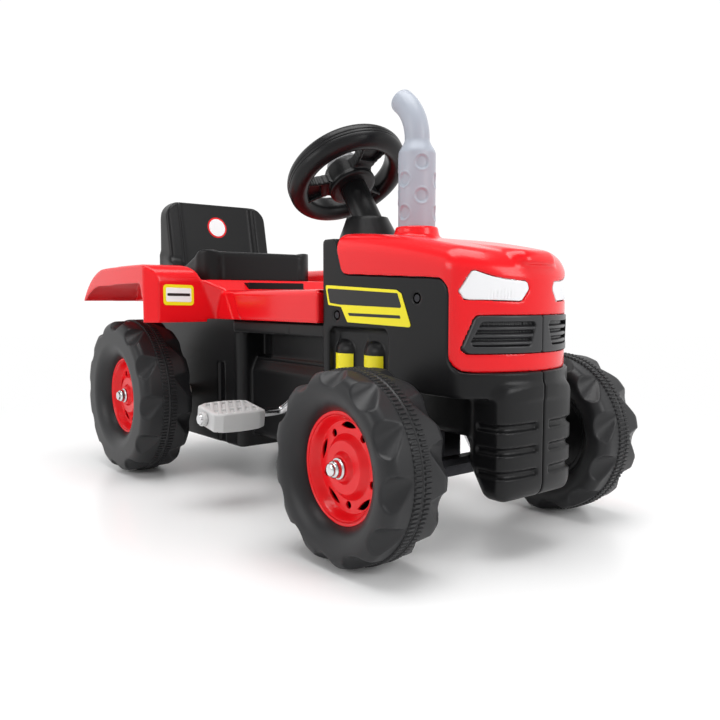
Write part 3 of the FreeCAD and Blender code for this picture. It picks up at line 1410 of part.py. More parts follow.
# Pedal drive: crank and rear axle in bushes, with a sprocket on each and one chain round both.
def ring_pair(label, inner, outer, low, high, x, z):
    """One ring on each side of the tractor, each a piece of its own."""
    for side_name, side in SIDES.items():
        ring(f"{label}_{side_name}", side, inner, outer, low, high, x, z)


def ring(label, side, inner, outer, low, high, x, z):
    """Ring along Y between two distances from the middle plane, on one side of it."""
    ends = (low, high) if side == LEFT else (f"-({high})", f"-({low})")
    solid = along_y(f"{label}_solid", outer, ends[0], ends[1], x, z)
    hole = along_y(f"{label}_hole", inner, f"({ends[0]}) - dims.wall", f"({ends[1]}) + dims.wall", x, z)
    return keep(label, cut(label, solid, [hole]))


def sprocket(label, radius, teeth, x, z):
    body = new_body(label)
    pad(body, "XZ_Plane", [("circle", "0", "0", radius), ("circle", "0", "0", SNUG_BORE)],
        "dims.sprocket_thick", "-dims.chain_offset")
    notch = ("circle", "0", f"{radius} + dims.tooth_radius / 2", "dims.tooth_radius")
    tooth = pocket(body, "XZ_Plane", [notch], "dims.track", both=True)
    polar(body, tooth, "Y_Axis", teeth)
    place(body, x, "0", z)
    return keep(label, body)


def drive_chain():
    """Closed loop that runs round both sprockets, drawn as one band."""
    start = Vector(value(REAR_AXLE), 0, value("dims.rear_tyre_radius"))
    finish = Vector(value(CRANK_X), 0, value("dims.crank_height"))
    run = finish - start
    heading = math.atan2(run.z, run.x)

    def loop(offset):
        small = value("dims.rear_sprocket_radius") + offset
        large = value("dims.front_sprocket_radius") + offset
        spread = math.acos((small - large) / run.Length)

        def at(centre, radius, angle):
            return centre + Vector(math.cos(angle), 0, math.sin(angle)) * radius

        upper, lower = heading + spread, heading - spread
        back, ahead = heading + math.pi, heading
        edges = [
            Part.LineSegment(at(start, small, upper), at(finish, large, upper)),
            Part.Arc(at(finish, large, upper), at(finish, large, ahead), at(finish, large, lower)),
            Part.LineSegment(at(finish, large, lower), at(start, small, lower)),
            Part.Arc(at(start, small, lower), at(start, small, back), at(start, small, upper)),
        ]
        return Part.Face(Part.Wire([edge.toShape() for edge in edges]))

    clear = value("dims.gap")
    band = loop(clear + value("dims.chain_thick")).cut(loop(clear))
    made = doc.addObject("Part::Feature", "drive_chain")
    made.Shape = band.Faces[0].extrude(Vector(0, value("dims.chain_width"), 0))
    middle = value("dims.chain_offset - dims.sprocket_thick / 2 - dims.chain_width / 2")
    made.Placement = Placement(Vector(0, middle, 0), Rotation())
    return keep("drive_chain", made)


def crank_pin(side):
    """Middle line of one pedal pin; the right pin points back and down, the left one ahead and up."""
    angle = math.radians(value("dims.crank_angle"))
    reach = side * value("dims.crank_arm")
    return Vector(value(CRANK_X) + reach * math.cos(angle), 0,
                  value("dims.crank_height") + reach * math.sin(angle))


def crank():
    hub = Vector(value(CRANK_X), 0, value("dims.crank_height"))
    arm = Vector(0, value("dims.crank_arm_offset"), 0)
    end = Vector(0, value("dims.pedal_inner + dims.pedal_width + 3 * dims.wall"), 0)
    points = [crank_pin(RIGHT) - end, crank_pin(RIGHT) - arm, hub - arm, hub + arm,
              crank_pin(LEFT) + arm, crank_pin(LEFT) + end]
    return keep("pedal_crank", bent_rod("pedal_crank", points, value("dims.crank_rod_radius"),
                                        value("dims.crank_bend")))


def pedal(side_name, side):
    """Block pedal with diagonal grip ribs on both faces."""
    body = new_body(f"pedal_{side_name}")
    length = "(dims.pedal_length / 2)"
    thick = "(dims.pedal_thick / 2)"
    start = f"{-side} * dims.pedal_inner"
    pad(body, "XZ_Plane", [[(f"-{length}", f"-{thick}"), (length, f"-{thick}"), (length, thick),
                            (f"-{length}", thick)]],
        "dims.pedal_width", start, reverse=side == LEFT)
    fillet(body, "dims.pedal_round", lambda edge: runs_along(edge, Vector(0, 1, 0)))
    pocket(body, "XZ_Plane", [("circle", "0", "0", "dims.crank_rod_radius + dims.gap")],
           "3 * dims.track", both=True)
    stripes = []
    reach = "dims.stripe_half_length"
    for number in range(int(value("dims.stripe_count"))):
        inner = f"({side} * (dims.pedal_inner + dims.stripe_start + {number} * dims.stripe_pitch))"
        outer = f"({inner} + {side} * dims.stripe_pitch)"
        width = f"({side} * dims.stripe_width)"
        stripes.append([(f"-{reach}", inner), (f"-{reach}", f"{inner} + {width}"),
                        (reach, f"{outer} + {width}"), (reach, outer)])
    for face, up in ((f"{thick} - dims.wall", True), (f"-({thick} - dims.wall)", False)):
        pocket(body, "XY_Plane", stripes, "2 * dims.wall", face, reverse=up)
    pin = crank_pin(side)
    body.Placement = Placement(pin, Rotation(Vector(0, 1, 0), value("dims.pedal_tilt")))
    return keep(f"pedal_{side_name}", body)


keep("rear_axle", along_y("rear_axle", "dims.axle_radius", f"-{AXLE_REACH}", AXLE_REACH,
                          REAR_AXLE, "dims.rear_tyre_radius"))
ring_pair("rear_axle_bush", "dims.axle_radius + dims.gap / 2", "dims.bush_radius - dims.gap / 4",
          "dims.rear_half_width - 2 * dims.wall", "dims.rear_half_width + dims.wall",
          REAR_AXLE, "dims.rear_tyre_radius")
ring_pair("rear_axle_spacer", SNUG_BORE, "dims.axle_radius + dims.spacer_reach",
          "dims.rear_half_width + dims.wall + dims.gap", f"dims.track / 2 - {INNER_FACE} - dims.gap",
          REAR_AXLE, "dims.rear_tyre_radius")
ring_pair("crank_bush", "dims.crank_rod_radius + dims.gap / 2", "dims.bush_radius - dims.gap / 4",
          "dims.waist_half_width - 2 * dims.wall", "dims.waist_half_width + dims.wall",
          CRANK_X, "dims.crank_height")
sprocket("rear_sprocket", "dims.rear_sprocket_radius", "dims.rear_teeth", REAR_AXLE, "dims.rear_tyre_radius")
sprocket("crank_sprocket", "dims.front_sprocket_radius", "dims.front_teeth", CRANK_X, "dims.crank_height")
drive_chain()
crank()
for side_name, side in SIDES.items():
    pedal(side_name, side)


def pedal_cap(side_name, side):
    """Push-on cap that holds a pedal on its crank pin."""
    pin = crank_pin(side)
    inner = "(dims.pedal_inner + dims.pedal_width + dims.gap)"
    ring(f"pedal_cap_{side_name}", side, "dims.crank_rod_radius + dims.snug",
         "dims.crank_rod_radius + dims.wall", inner, f"{inner} + 2 * dims.wall", str(pin.x), str(pin.z))


for side_name, side in SIDES.items():
    pedal_cap(side_name, side)


# Tow hitch at the back and the screws that join the body halves.
def tow_hitch():
    rear = f"({REAR_AXLE} - dims.rear_length)"
    low = "(dims.rear_bottom + 6 * dims.wall)"
    plate = box("hitch_plate", (f"{rear} - dims.hitch_length", rear),
                ("-dims.hitch_length", "dims.hitch_length"), (low, f"{low} + dims.hitch_thick"))
    hole = cylinder("hitch_hole", "dims.hitch_bore", "4 * dims.hitch_thick",
                    f"{rear} - dims.hitch_length / 2", "0", f"{low} - dims.hitch_thick")
    return keep("tow_hitch", cut("tow_hitch", plate, [hole]))


def body_screw(end, side_name, side):
    """Countersunk screw through the side of one body half."""
    head = f"{side} * (dims.panel_half_width - dims.wall / 2)"
    foot = f"{side} * (dims.panel_half_width - 4 * dims.wall)"
    low, high = (foot, head) if side == LEFT else (head, foot)
    label = f"body_screw_{end}_{side_name}"
    return keep(label, along_y(label, "dims.screw_radius - dims.gap / 4", low, high, *SCREW_PLACES[end]))


tow_hitch()
for end in SCREW_PLACES:
    for side_name, side in SIDES.items():
        body_screw(end, side_name, side)


# Every feature must have worked and every piece must be a sound solid before anything is written.
doc.recompute()
failed = [item.Label for item in doc.Objects if {"Invalid", "Error"} & set(item.State)]
unsound = [label for label, item in nodes.items() if item.Shape.isNull() or not item.Shape.isValid()]
if failed or unsound:
    raise RuntimeError(f"failed features {failed}, unsound pieces {unsound}")
os.makedirs("parts", exist_ok=True)
for label, item in nodes.items():
    item.Shape.exportStep(f"parts/{label}.step")
    print(label, len(item.Shape.Solids), round(item.Shape.Volume / 1000, 1), "cm3")
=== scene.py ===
"""Looks of the ride-on pedal tractor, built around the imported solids.

Lengths in this script are millimetres in the tractor's frame: +X forward, +Y to the rider's left, +Z up.
"""
import json
import math

import bpy
import numpy as np
from mathutils import Matrix, Vector


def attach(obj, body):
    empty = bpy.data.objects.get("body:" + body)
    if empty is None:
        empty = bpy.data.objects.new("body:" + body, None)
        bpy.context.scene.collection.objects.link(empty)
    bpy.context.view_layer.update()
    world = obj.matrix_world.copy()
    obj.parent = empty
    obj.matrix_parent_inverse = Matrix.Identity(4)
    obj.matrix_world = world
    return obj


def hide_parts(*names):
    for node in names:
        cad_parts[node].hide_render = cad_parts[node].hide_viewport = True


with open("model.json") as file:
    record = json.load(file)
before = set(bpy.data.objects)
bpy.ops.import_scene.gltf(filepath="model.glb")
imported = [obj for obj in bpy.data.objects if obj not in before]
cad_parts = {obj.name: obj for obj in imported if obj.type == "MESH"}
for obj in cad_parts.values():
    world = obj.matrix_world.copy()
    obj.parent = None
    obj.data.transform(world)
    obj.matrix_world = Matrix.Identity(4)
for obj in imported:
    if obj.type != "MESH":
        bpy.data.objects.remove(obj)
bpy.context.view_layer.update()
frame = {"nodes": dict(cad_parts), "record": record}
scene = bpy.context.scene
MM = 0.001


# Materials: moulded plastics, plated steel and clear lenses, all from nodes.
def new_material(name):
    material = bpy.data.materials.new(name)
    material.use_nodes = True
    nodes = material.node_tree.nodes
    return material, nodes, material.node_tree.links, nodes["Principled BSDF"]


def noise(nodes, links, scale, detail=3.0):
    """Noise that is fixed to the object's own space."""
    place = nodes.new("ShaderNodeTexCoord")
    texture = nodes.new("ShaderNodeTexNoise")
    texture.inputs["Scale"].default_value = scale
    texture.inputs["Detail"].default_value = detail
    links.new(place.outputs["Object"], texture.inputs["Vector"])
    return texture


def plastic(name, colour, roughness, specular=0.5, coat=0.0, grain=0.04, grain_scale=900.0, drift=0.06):
    """Moulded plastic: colour drifts a little over the piece, fine grain breaks up the gloss."""
    material, nodes, links, shader = new_material(name)
    cloud = noise(nodes, links, 7.0)
    shades = nodes.new("ShaderNodeMix")
    shades.data_type = "RGBA"
    shades.inputs["A"].default_value = (*[c * (1 - drift) for c in colour], 1)
    shades.inputs["B"].default_value = (*[min(1, c * (1 + drift)) for c in colour], 1)
    links.new(cloud.outputs["Fac"], shades.inputs["Factor"])
    links.new(shades.outputs["Result"], shader.inputs["Base Color"])
    speck = noise(nodes, links, grain_scale, 2.0)
    gloss = nodes.new("ShaderNodeMapRange")
    gloss.inputs["To Min"].default_value = roughness * 0.85
    gloss.inputs["To Max"].default_value = roughness * 1.15
    links.new(speck.outputs["Fac"], gloss.inputs["Value"])
    links.new(gloss.outputs["Result"], shader.inputs["Roughness"])
    bump = nodes.new("ShaderNodeBump")
    bump.inputs["Strength"].default_value = grain
    bump.inputs["Distance"].default_value = 0.0004
    links.new(speck.outputs["Fac"], bump.inputs["Height"])
    links.new(bump.outputs["Normal"], shader.inputs["Normal"])
    shader.inputs["Specular IOR Level"].default_value = specular
    shader.inputs["Coat Weight"].default_value = coat
    shader.inputs["Coat Roughness"].default_value = 0.04
    return material


def steel(name, colour, roughness):
    """Plated steel with faint drawing marks along it."""
    material, nodes, links, shader = new_material(name)
    marks = noise(nodes, links, 260.0)
    gloss = nodes.new("ShaderNodeMapRange")
    gloss.inputs["To Min"].default_value = roughness * 0.7
    gloss.inputs["To Max"].default_value = roughness * 1.4
    links.new(marks.outputs["Fac"], gloss.inputs["Value"])
    links.new(gloss.outputs["Result"], shader.inputs["Roughness"])
    tint = nodes.new("ShaderNodeMix")
    tint.data_type = "RGBA"
    tint.inputs["A"].default_value = (*[c * 0.88 for c in colour], 1)
    tint.inputs["B"].default_value = (*colour, 1)
    links.new(marks.outputs["Fac"], tint.inputs["Factor"])
    links.new(tint.outputs["Result"], shader.inputs["Base Color"])
    shader.inputs["Metallic"].default_value = 1.0
    return material


def clear_lens(name):
    """Clear moulded lens with a faint ripple."""
    material, nodes, links, shader = new_material(name)
    ripple = noise(nodes, links, 120.0)
    bump = nodes.new("ShaderNodeBump")
    bump.inputs["Strength"].default_value = 0.05
    bump.inputs["Distance"].default_value = 0.001
    links.new(ripple.outputs["Fac"], bump.inputs["Height"])
    links.new(bump.outputs["Normal"], shader.inputs["Normal"])
    shader.inputs["Base Color"].default_value = (0.97, 0.97, 0.99, 1)
    shader.inputs["Roughness"].default_value = 0.06
    shader.inputs["IOR"].default_value = 1.46
    shader.inputs["Transmission Weight"].default_value = 0.15
    return material


RED = plastic("red_plastic", (0.80, 0.005, 0.010), 0.22, 0.32, 0.12, grain=0.012, drift=0.02)
BLACK = plastic("black_plastic", (0.0062, 0.0062, 0.0068), 0.34, 0.24, grain=0.10, grain_scale=1100)
TYRE = plastic("tyre_plastic", (0.017, 0.0172, 0.0185), 0.40, 0.30, grain=0.10, grain_scale=1300)
GREY = plastic("grey_plastic", (0.37, 0.40, 0.46), 0.34, 0.4, grain=0.03)
PEDAL = plastic("pedal_plastic", (0.52, 0.52, 0.52), 0.42, 0.4, grain=0.06)
BUSH = plastic("bush_plastic", (0.62, 0.61, 0.57), 0.45, 0.35)
CHROME = steel("plated_steel", (0.74, 0.74, 0.75), 0.16)
DARK_STEEL = steel("black_steel", (0.05, 0.05, 0.055), 0.4)
LENS = clear_lens("clear_lens")
# Grille black: the same black plastic given a lighter base as a painted reflection of the front lamp on the
# frame.
GRILLE_PAINTED_SHEEN = plastic("grille_plastic", (0.028, 0.028, 0.03), 0.32, 0.4, grain=0.06)
HORN = plastic("horn_plastic", (0.27, 0.27, 0.28), 0.38, 0.35, grain=0.04)
WHITE = plastic("white_label", (0.90, 0.90, 0.91), 0.32, 0.4, grain=0.01, drift=0.02)
YELLOW = plastic("yellow_label", (0.93, 0.80, 0.01), 0.32, 0.4, grain=0.01, drift=0.03)
INK = plastic("label_black", (0.012, 0.012, 0.012), 0.32, 0.4, grain=0.01)
SLOT_MATERIALS = {"red_plastic": RED, "black_plastic": BLACK, "tyre_plastic": TYRE, "grey_plastic": GREY,
                  "pedal_plastic": PEDAL, "bush_plastic": BUSH, "plated_steel": CHROME,
                  "black_steel": DARK_STEEL, "clear_lens": LENS}


# Solids that stay in view get their slot's material and softly rounded edges.
EDGE_ROUND = 0.9


def dress(node, material):
    node.data.materials.clear()
    node.data.materials.append(material)
    weld = node.modifiers.new("weld", "WELD")
    weld.merge_threshold = 0.01 * MM
    bevel = node.modifiers.new("edges", "BEVEL")
    bevel.width = EDGE_ROUND * MM
    bevel.segments = 2
    bevel.limit_method = "ANGLE"
    bevel.angle_limit = math.radians(40)
    bevel.harden_normals = True


for part in frame["record"]["subparts"]:
    dress(frame["nodes"][part["node"]], SLOT_MATERIALS[part["material_slot"]])
for side_name in ("right", "left"):
    frame["nodes"][f"pedal_cap_{side_name}"].data.materials[0] = PEDAL
    for place in ("front", "rear"):
        frame["nodes"][f"body_screw_{place}_{side_name}"].data.materials[0] = DARK_STEEL
frame["nodes"]["horn_button"].data.materials[0] = HORN


# Forms as distance fields: a field is below zero inside a form, and says how far its surface is.
def sample_lines(low, high, step):
    """Sample places along X, Y and Z, shaped to spread against each other."""
    lines = [np.arange(a - 2 * step, b + 2.5 * step, step).astype(np.float32) for a, b in zip(low, high)]
    return lines[0][:, None, None], lines[1][None, :, None], lines[2][None, None, :]


def join(first, second, fillet=0.0):
    """Both forms together, with a fillet where they meet."""
    if np.max(fillet) == 0:
        return np.minimum(first, second)
    share = np.clip(0.5 + 0.5 * (second - first) / fillet, 0, 1)
    return second + (first - second) * share - fillet * share * (1 - share)


def meet(first, second, rounding=0.0):
    """What two forms have in common, with rounded edges."""
    return -join(-first, -second, rounding)


def carve(form, tool, rounding=0.0):
    return meet(form, -tool, rounding)


def rounded_box(place, low, high, radius):
    gaps = [np.abs(v - (a + b) / 2) - (b - a) / 2 + radius for v, a, b in zip(place, low, high)]
    outside = np.sqrt(sum(np.maximum(gap, 0) ** 2 for gap in gaps))
    inside = np.minimum(np.maximum(np.maximum(gaps[0], gaps[1]), gaps[2]), 0)
    return outside + inside - radius


def rod(place, start, end, start_radius, end_radius):
    """Round-ended rod that may taper."""
    run = np.subtract(end, start)
    away = [v - s for v, s in zip(place, start)]
    share = np.clip(sum(a * r for a, r in zip(away, run)) / run.dot(run), 0, 1)
    gap = np.sqrt(sum((a - r * share) ** 2 for a, r in zip(away, run)))
    return gap - (start_radius + (end_radius - start_radius) * share)


def line_distance(u, v, points):
    """Flat distance to an open line of points."""
    nearest = np.inf
    for (u0, v0), (u1, v1) in zip(points, points[1:]):
        eu, ev = u1 - u0, v1 - v0
        share = np.clip(((u - u0) * eu + (v - v0) * ev) / (eu * eu + ev * ev), 0, 1)
        nearest = np.minimum(nearest, (u - u0 - eu * share) ** 2 + (v - v0 - ev * share) ** 2)
    return np.sqrt(nearest)


def outline(u, v, points):
    """Flat field of a closed outline."""
    inside = np.zeros(np.broadcast(u, v).shape, bool)
    for (u0, v0), (u1, v1) in zip(points, points[1:] + points[:1]):
        past = (u1 - u0) * (v - v0) > (v1 - v0) * (u - u0)
        inside ^= ((v >= v0) & (v < v1) & past) | ((v < v0) & (v >= v1) & ~past)
    return np.where(inside, -1, 1) * line_distance(u, v, points + points[:1])


def rounded(points, radii, steps=6):
    """Closed outline with its corners turned into arcs; a radius of 0 leaves a corner sharp."""
    path = []
    count = len(points)
    for number, radius in enumerate(radii):
        here = Vector(points[number])
        before = (Vector(points[number - 1]) - here).normalized()
        after = (Vector(points[(number + 1) % count]) - here).normalized()
        half = before.angle(after) / 2
        if radius == 0:
            path.append(tuple(here))
            continue
        middle = here + (before + after).normalized() * radius / math.sin(half)
        first = here + before * radius / math.tan(half) - middle
        last = here + after * radius / math.tan(half) - middle
        for step in range(steps + 1):
            spoke = first.lerp(last, step / steps).normalized() * radius
            path.append(tuple(middle + spoke))
    return path


def round_meet(first, second, radius):
    """What two forms have in common, with an arc of the radius along a square edge."""
    first, second = first + radius, second + radius
    outside = np.hypot(np.maximum(first, 0), np.maximum(second, 0))
    return np.minimum(np.maximum(first, second), 0) + outside - radius


def prism(flat, across, half_width, radius=0.0):
    """Flat field carried across to a half-width on both sides, with rounded edges."""
    return round_meet(flat, np.abs(across) - half_width, radius)


def surface(field, lines):
    """Points and quads of the surface where a sampled field is zero."""
    cells = tuple(size - 1 for size in field.shape)
    inside = field < 0
    total = np.zeros((*cells, 3))
    hits = np.zeros(cells)
    quads = []
    crossings = []
    for axis in range(3):
        u, v = (axis + 1) % 3, (axis + 2) % 3
        near = np.moveaxis(field, axis, 0)[:-1]
        far = np.moveaxis(field, axis, 0)[1:]
        crossed = (near < 0) != (far < 0)
        share = np.where(crossed, near / np.where(crossed, near - far, 1), 0)
        crossed = np.moveaxis(crossed, 0, axis)
        share = np.moveaxis(share, 0, axis)
        crossings.append(crossed)
        for du in (0, 1):
            for dv in (0, 1):
                pick = [slice(None)] * 3
                pick[u] = slice(du, du + cells[u])
                pick[v] = slice(dv, dv + cells[v])
                hit = crossed[tuple(pick)]
                hits += hit
                total[..., axis] += share[tuple(pick)]
                total[..., u] += du * hit
                total[..., v] += dv * hit
    mixed = hits > 0
    number = np.full(cells, -1)
    number[mixed] = np.arange(mixed.sum())
    low = np.array([line.flat[0] for line in lines])
    step = lines[0].flat[1] - lines[0].flat[0]
    points = low + step * (np.argwhere(mixed) + total[mixed] / hits[mixed][:, None])
    for axis, crossed in enumerate(crossings):
        u, v = (axis + 1) % 3, (axis + 2) % 3
        at = np.argwhere(crossed)
        ring = []
        for du, dv in ((1, 1), (0, 1), (0, 0), (1, 0)):
            cell = at.copy()
            cell[:, u] -= du
            cell[:, v] -= dv
            ring.append(number[tuple(cell.T)])
        ring = np.stack(ring, 1)
        outward = inside[tuple(at.T)]
        quads.append(np.where(outward[:, None], ring, ring[:, ::-1]))
    return points, np.concatenate(quads)


# Pieces: new meshes that ride on a body and stand for nodes of the solids.
def finish_piece(obj, material, body, replaced=(), sharp=50):
    obj.data.materials.append(material)
    obj.data.shade_smooth()
    obj.data.set_sharp_from_angle(angle=math.radians(sharp))
    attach(obj, body)
    if replaced:
        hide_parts(*replaced)
    return obj


def new_piece(name, points, faces, material, body, slot, replaced=(), sharp=50):
    mesh = bpy.data.meshes.new(name)
    mesh.from_pydata((np.asarray(points) * MM).tolist(), [], [list(face) for face in faces])
    obj = bpy.data.objects.new(name, mesh)
    scene.collection.objects.link(obj)
    return finish_piece(obj, material, body, replaced, sharp)


def mirrored(points, faces):
    """The same surface on the tractor's other side."""
    return points * (1, -1, 1), faces[:, ::-1]


def on_side(points, faces, side):
    """The surface as made for the left side, or mirrored for the right."""
    return (points, faces) if side == 1 else mirrored(points, faces)


# Wheels: turned tyres with scalloped lugs on both shoulders and a ticked band over the moulding seam.
FRONT_AXLE_X = 288
REAR_AXLE_X = -262
FRONT_CROWN = 100
REAR_CROWN = 118
WHEEL_Y = 165
SCOOPS = 12
BAND_HALF_WIDTH = 10.5
TICK_STEPS = 8
WHEELS = {
    "front_{}_right": (FRONT_AXLE_X, -WHEEL_Y, FRONT_CROWN, "front_wheel_right"),
    "front_{}_left": (FRONT_AXLE_X, WHEEL_Y, FRONT_CROWN, "front_wheel_left"),
    "rear_{}_right": (REAR_AXLE_X, -WHEEL_Y, REAR_CROWN, "rear_axle"),
    "rear_{}_left": (REAR_AXLE_X, WHEEL_Y, REAR_CROWN, "rear_wheel_left"),
}


def arc(start, end, radius, steps=12):
    """Points from start to end on an arc that bulges to the right of the way from one to the other."""
    start, end = np.array(start, float), np.array(end, float)
    chord = end - start
    half = np.linalg.norm(chord) / 2
    left = np.array((-chord[1], chord[0])) / (2 * half)
    middle = (start + end) / 2 + left * math.sqrt(radius ** 2 - half ** 2)
    first, last = start - middle, end - middle
    turn = math.atan2(first[0] * last[1] - first[1] * last[0], first.dot(last))
    angles = math.atan2(first[1], first[0]) + turn * np.linspace(0, 1, steps + 1)
    return [(middle[0] + radius * math.cos(a), middle[1] + radius * math.sin(a)) for a in angles]


def ring_faces(rows, columns):
    """Quads of a grid that closes on itself both ways."""
    row, column = np.meshgrid(np.arange(rows), np.arange(columns), indexing="ij")
    below, beside = (row + 1) % rows, (column + 1) % columns
    corners = [row * columns + column, below * columns + column,
               below * columns + beside, row * columns + beside]
    return np.stack(corners, -1).reshape(-1, 4)


def around_axle(across, radius, angles):
    """Points on circles about the axle, with rows by angle from the top towards the front."""
    across = np.broadcast_to(across, radius.shape)
    return np.stack([radius * np.sin(angles), across, radius * np.cos(angles)], -1)


def tyre_form(lines, crown, side):
    """Hollow-sided tyre with twelve teardrop scoops on each shoulder, those inside half a step round."""
    x, y, z = lines
    reach = np.hypot(x, z)
    half = [(0, 57), (12, 57)] + arc((21, 58), (40, 82), 27) + arc((40, crown - 15), (28, crown - 2), 14)
    half += [(BAND_HALF_WIDTH, crown - 2), (0, crown - 2)]
    form = outline(np.abs(y), reach, half)
    pitch = 2 * math.pi / SCOOPS
    for shoulder, phase in ((side, 0), (-side, pitch / 2)):
        turn = np.mod(np.arctan2(x, z) - phase + pitch / 2, pitch) - pitch / 2
        place = (reach * np.sin(turn), y * shoulder, reach * np.cos(turn))
        scoop = rod(place, (-6, 10, crown + 1), (4, 37, crown + 7), 3, 24.5)
        form = carve(form, scoop, 1.1)
    return form


def tyre(name, middle, crown, side, body):
    low, high = (-crown, -42, -crown), (crown, 42, crown)
    lines = sample_lines(low, high, 1.5)
    points, faces = surface(tyre_form(lines, crown, side), lines)
    new_piece(name, points + middle, faces, TYRE, body, "tyre_plastic", [name], sharp=60)


def tread_band(name, middle, crown, ticks, body):
    """Raised band round the tyre's middle with a row of ticks on each side of a thin ridge."""
    across = np.array([-BAND_HALF_WIDTH, -BAND_HALF_WIDTH, -9.7, -2.6, -1.9, -1.2, 0,
                       1.2, 1.9, 2.6, 9.7, BAND_HALF_WIDTH, BAND_HALF_WIDTH])
    low = crown - np.array([4.0, 1.7, 1.5, 1.5, 1.5, 1.0, 0.6, 1.0, 1.5, 1.5, 1.5, 1.7, 4.0])
    ticked = np.isin(np.abs(across), (9.7, 2.6)) * 1.5
    wave = np.array([0, 0, 0, 0, 1, 1, 1, 1])
    right_ticks = np.tile(wave, ticks)[:, None]
    heights = low + ticked * np.where(across < 0, right_ticks, 1 - right_ticks)
    steps = TICK_STEPS * ticks
    angles = np.linspace(0, 2 * math.pi, steps, endpoint=False)[:, None]
    points = around_axle(across, heights, angles) + middle
    faces = ring_faces(steps, len(across))
    new_piece(name, points.reshape(-1, 3), faces, TYRE, body, "tyre_plastic", sharp=35)


for pattern, (axle_x, wheel_y, crown, body) in WHEELS.items():
    middle = np.array((axle_x, wheel_y, crown))
    side = math.copysign(1, wheel_y)
    tyre(pattern.format("tyre"), middle, crown, side, body)
    tread_band(pattern.format("tread_band"), middle, crown, round(crown * 1.2), body)


# Body halves: front section with the side panel, bottles and grooved nose, then the waist and rear box.
SKIN = 3.0
SIDE_NAMES = {"right": -1, "left": 1}
COLUMN_TOP = np.array((63, 0, 435))
COLUMN_LEAN = math.radians(35)
COLUMN_DOWN = np.array((math.sin(COLUMN_LEAN), 0, -math.cos(COLUMN_LEAN)))
SHAFT_LENGTH = 430
SHAFT_BORE = 7.5
PANEL_Y = 90
NOSE_GROOVES = (90, 114, 138)
BOTTLE_Y = 65.5
BOTTLE_RADIUS = 23
SCREW_PLACES = [(295, 269), (156, 249)]
BOTTLES = [(162, 152), (216, 204)]


def corner_post(u, v, u_edge, v_edge, radius):
    """Flat field that stays below two edges and rounds the corner between them."""
    return np.hypot(np.maximum(u - u_edge + radius, 0), np.maximum(v - v_edge + radius, 0)) - radius


def bowed_plan(x, y, half_width, bow, corner):
    """Flat field of the front section seen from above: straight side, round corner, bowed front."""
    middle = 271
    across = half_width - corner
    along = math.sqrt((bow - corner) ** 2 - across ** 2)
    side = y - half_width + 0 * x
    front = np.hypot(x - middle, y) - bow
    turn = np.hypot(x - middle - along, y - across) - corner
    return np.where(x < middle + along, side, np.where((x - middle) * across > y * along, front, turn))


def shell_half(form, lines, inner=SKIN):
    """Left half of a hollow moulding with the passage for the steering shaft."""
    x, y, z = lines
    half = carve(form, form + inner)
    shaft = rod((x, y, z), COLUMN_TOP, COLUMN_TOP + SHAFT_LENGTH * COLUMN_DOWN, SHAFT_BORE, SHAFT_BORE)
    half = carve(half, shaft)
    return meet(half, 0.15 - y, 2.0)


def front_section(lines):
    x, y, z = lines
    side_view = rounded([(128, 168), (393, 168), (393, 194), (341, 194), (341, 289), (168, 297),
                         (153, 340), (128, 340)], [8, 0, 3, 20, 17, 15, 4, 5])
    panel = prism(outline(x, z, side_view), y, PANEL_Y, 2.5)
    panel = meet(panel, bowed_plan(x, y, PANEL_Y, 122, 30), 2)
    nose_view = rounded([(338, 180), (338, 96), (360, 61), (396, 61), (396, 180)], [0, 14, 14, 18, 0])
    nose = prism(outline(x, z, nose_view), y, 60, 15)
    nose = meet(nose, np.hypot(x - 216, y) - 180, 8)
    core = rounded_box((x, y, z), (122, -60, 124), (345, 60, 176), 8)
    form = join(panel, core, 5)
    form = join(form, nose, 7)
    for height in NOSE_GROOVES:
        groove = np.hypot(nose, z - height) - 4.0
        form = carve(form, meet(groove, np.maximum(354 - x, 9 - y), 3), 1.5)
    shelled = shell_half(form, lines)
    inside = rounded_box((x, y, z), (141, 79, 171), (249, 110, 235), 10)
    pocket = rounded_box((x, y, z), (137, 74, 167), (253, 89, 239), 2)
    shelled = carve(join(shelled, pocket), inside, 2.5)
    for middle, horn in BOTTLES:
        reach = np.hypot(x - middle, y - BOTTLE_Y) / BOTTLE_RADIUS
        jar = (np.hypot(reach, np.maximum(z - 206, 0) / 18) - 1) * 20
        jar = join(jar, rod((x, y, z), (horn + 2, 74, 212), (horn, 75, 231.5), 5.5, 3.5), 5)
        jar = meet(jar, np.maximum(168 - z, 74 - y))
        shelled = join(shelled, jar, 1.5)
    for screw_x, screw_z in SCREW_PLACES:
        hole = np.hypot(x - screw_x, z - screw_z) - 5.5
        shelled = carve(shelled, meet(hole, 84 - y), 1.5)
    return shelled


def rear_section(lines):
    x, y, z = lines
    waist_end_view = rounded([(-70, 66), (60, 66), (60, 164), (51, 184), (-70, 184)], [0, 8, 4, 3, 0])
    waist = prism(outline(y, z, waist_end_view), x - 27.5, 120.5, 4)
    neck = rounded_box((x, y, z), (-55, -50, 140), (134, 50, 238), 5)
    spine = rounded_box((x, y, z), (-100, -38, 140), (-40, 38, 238), 4)
    ledge = rounded_box((x, y, z), (-100, -86, 220), (128, 86, 238), 3)
    joint = np.maximum(np.abs(x - 46) - 0.9, 84.4 - y)
    form = join(join(waist, neck, 3), join(spine, carve(ledge, joint, 0.8), 3), 3)
    tail = rounded_box((x, y, z), (-372, -80, 48), (-90, 80, 268), 5)
    tail = meet(tail, corner_post(x, y, -90, 80, 16), 1)
    slot = rounded_box((x, y, z), (-158, 75.5, 30), (-138, 95, 172), 2.5)
    form = carve(join(form, tail, 2), slot, 1.5)
    for bore_x, bore_z in ((REAR_AXLE_X, REAR_CROWN), (69, 146)):
        form = carve(form, np.hypot(x - bore_x, z - bore_z) - 11)
    return shell_half(form, lines)


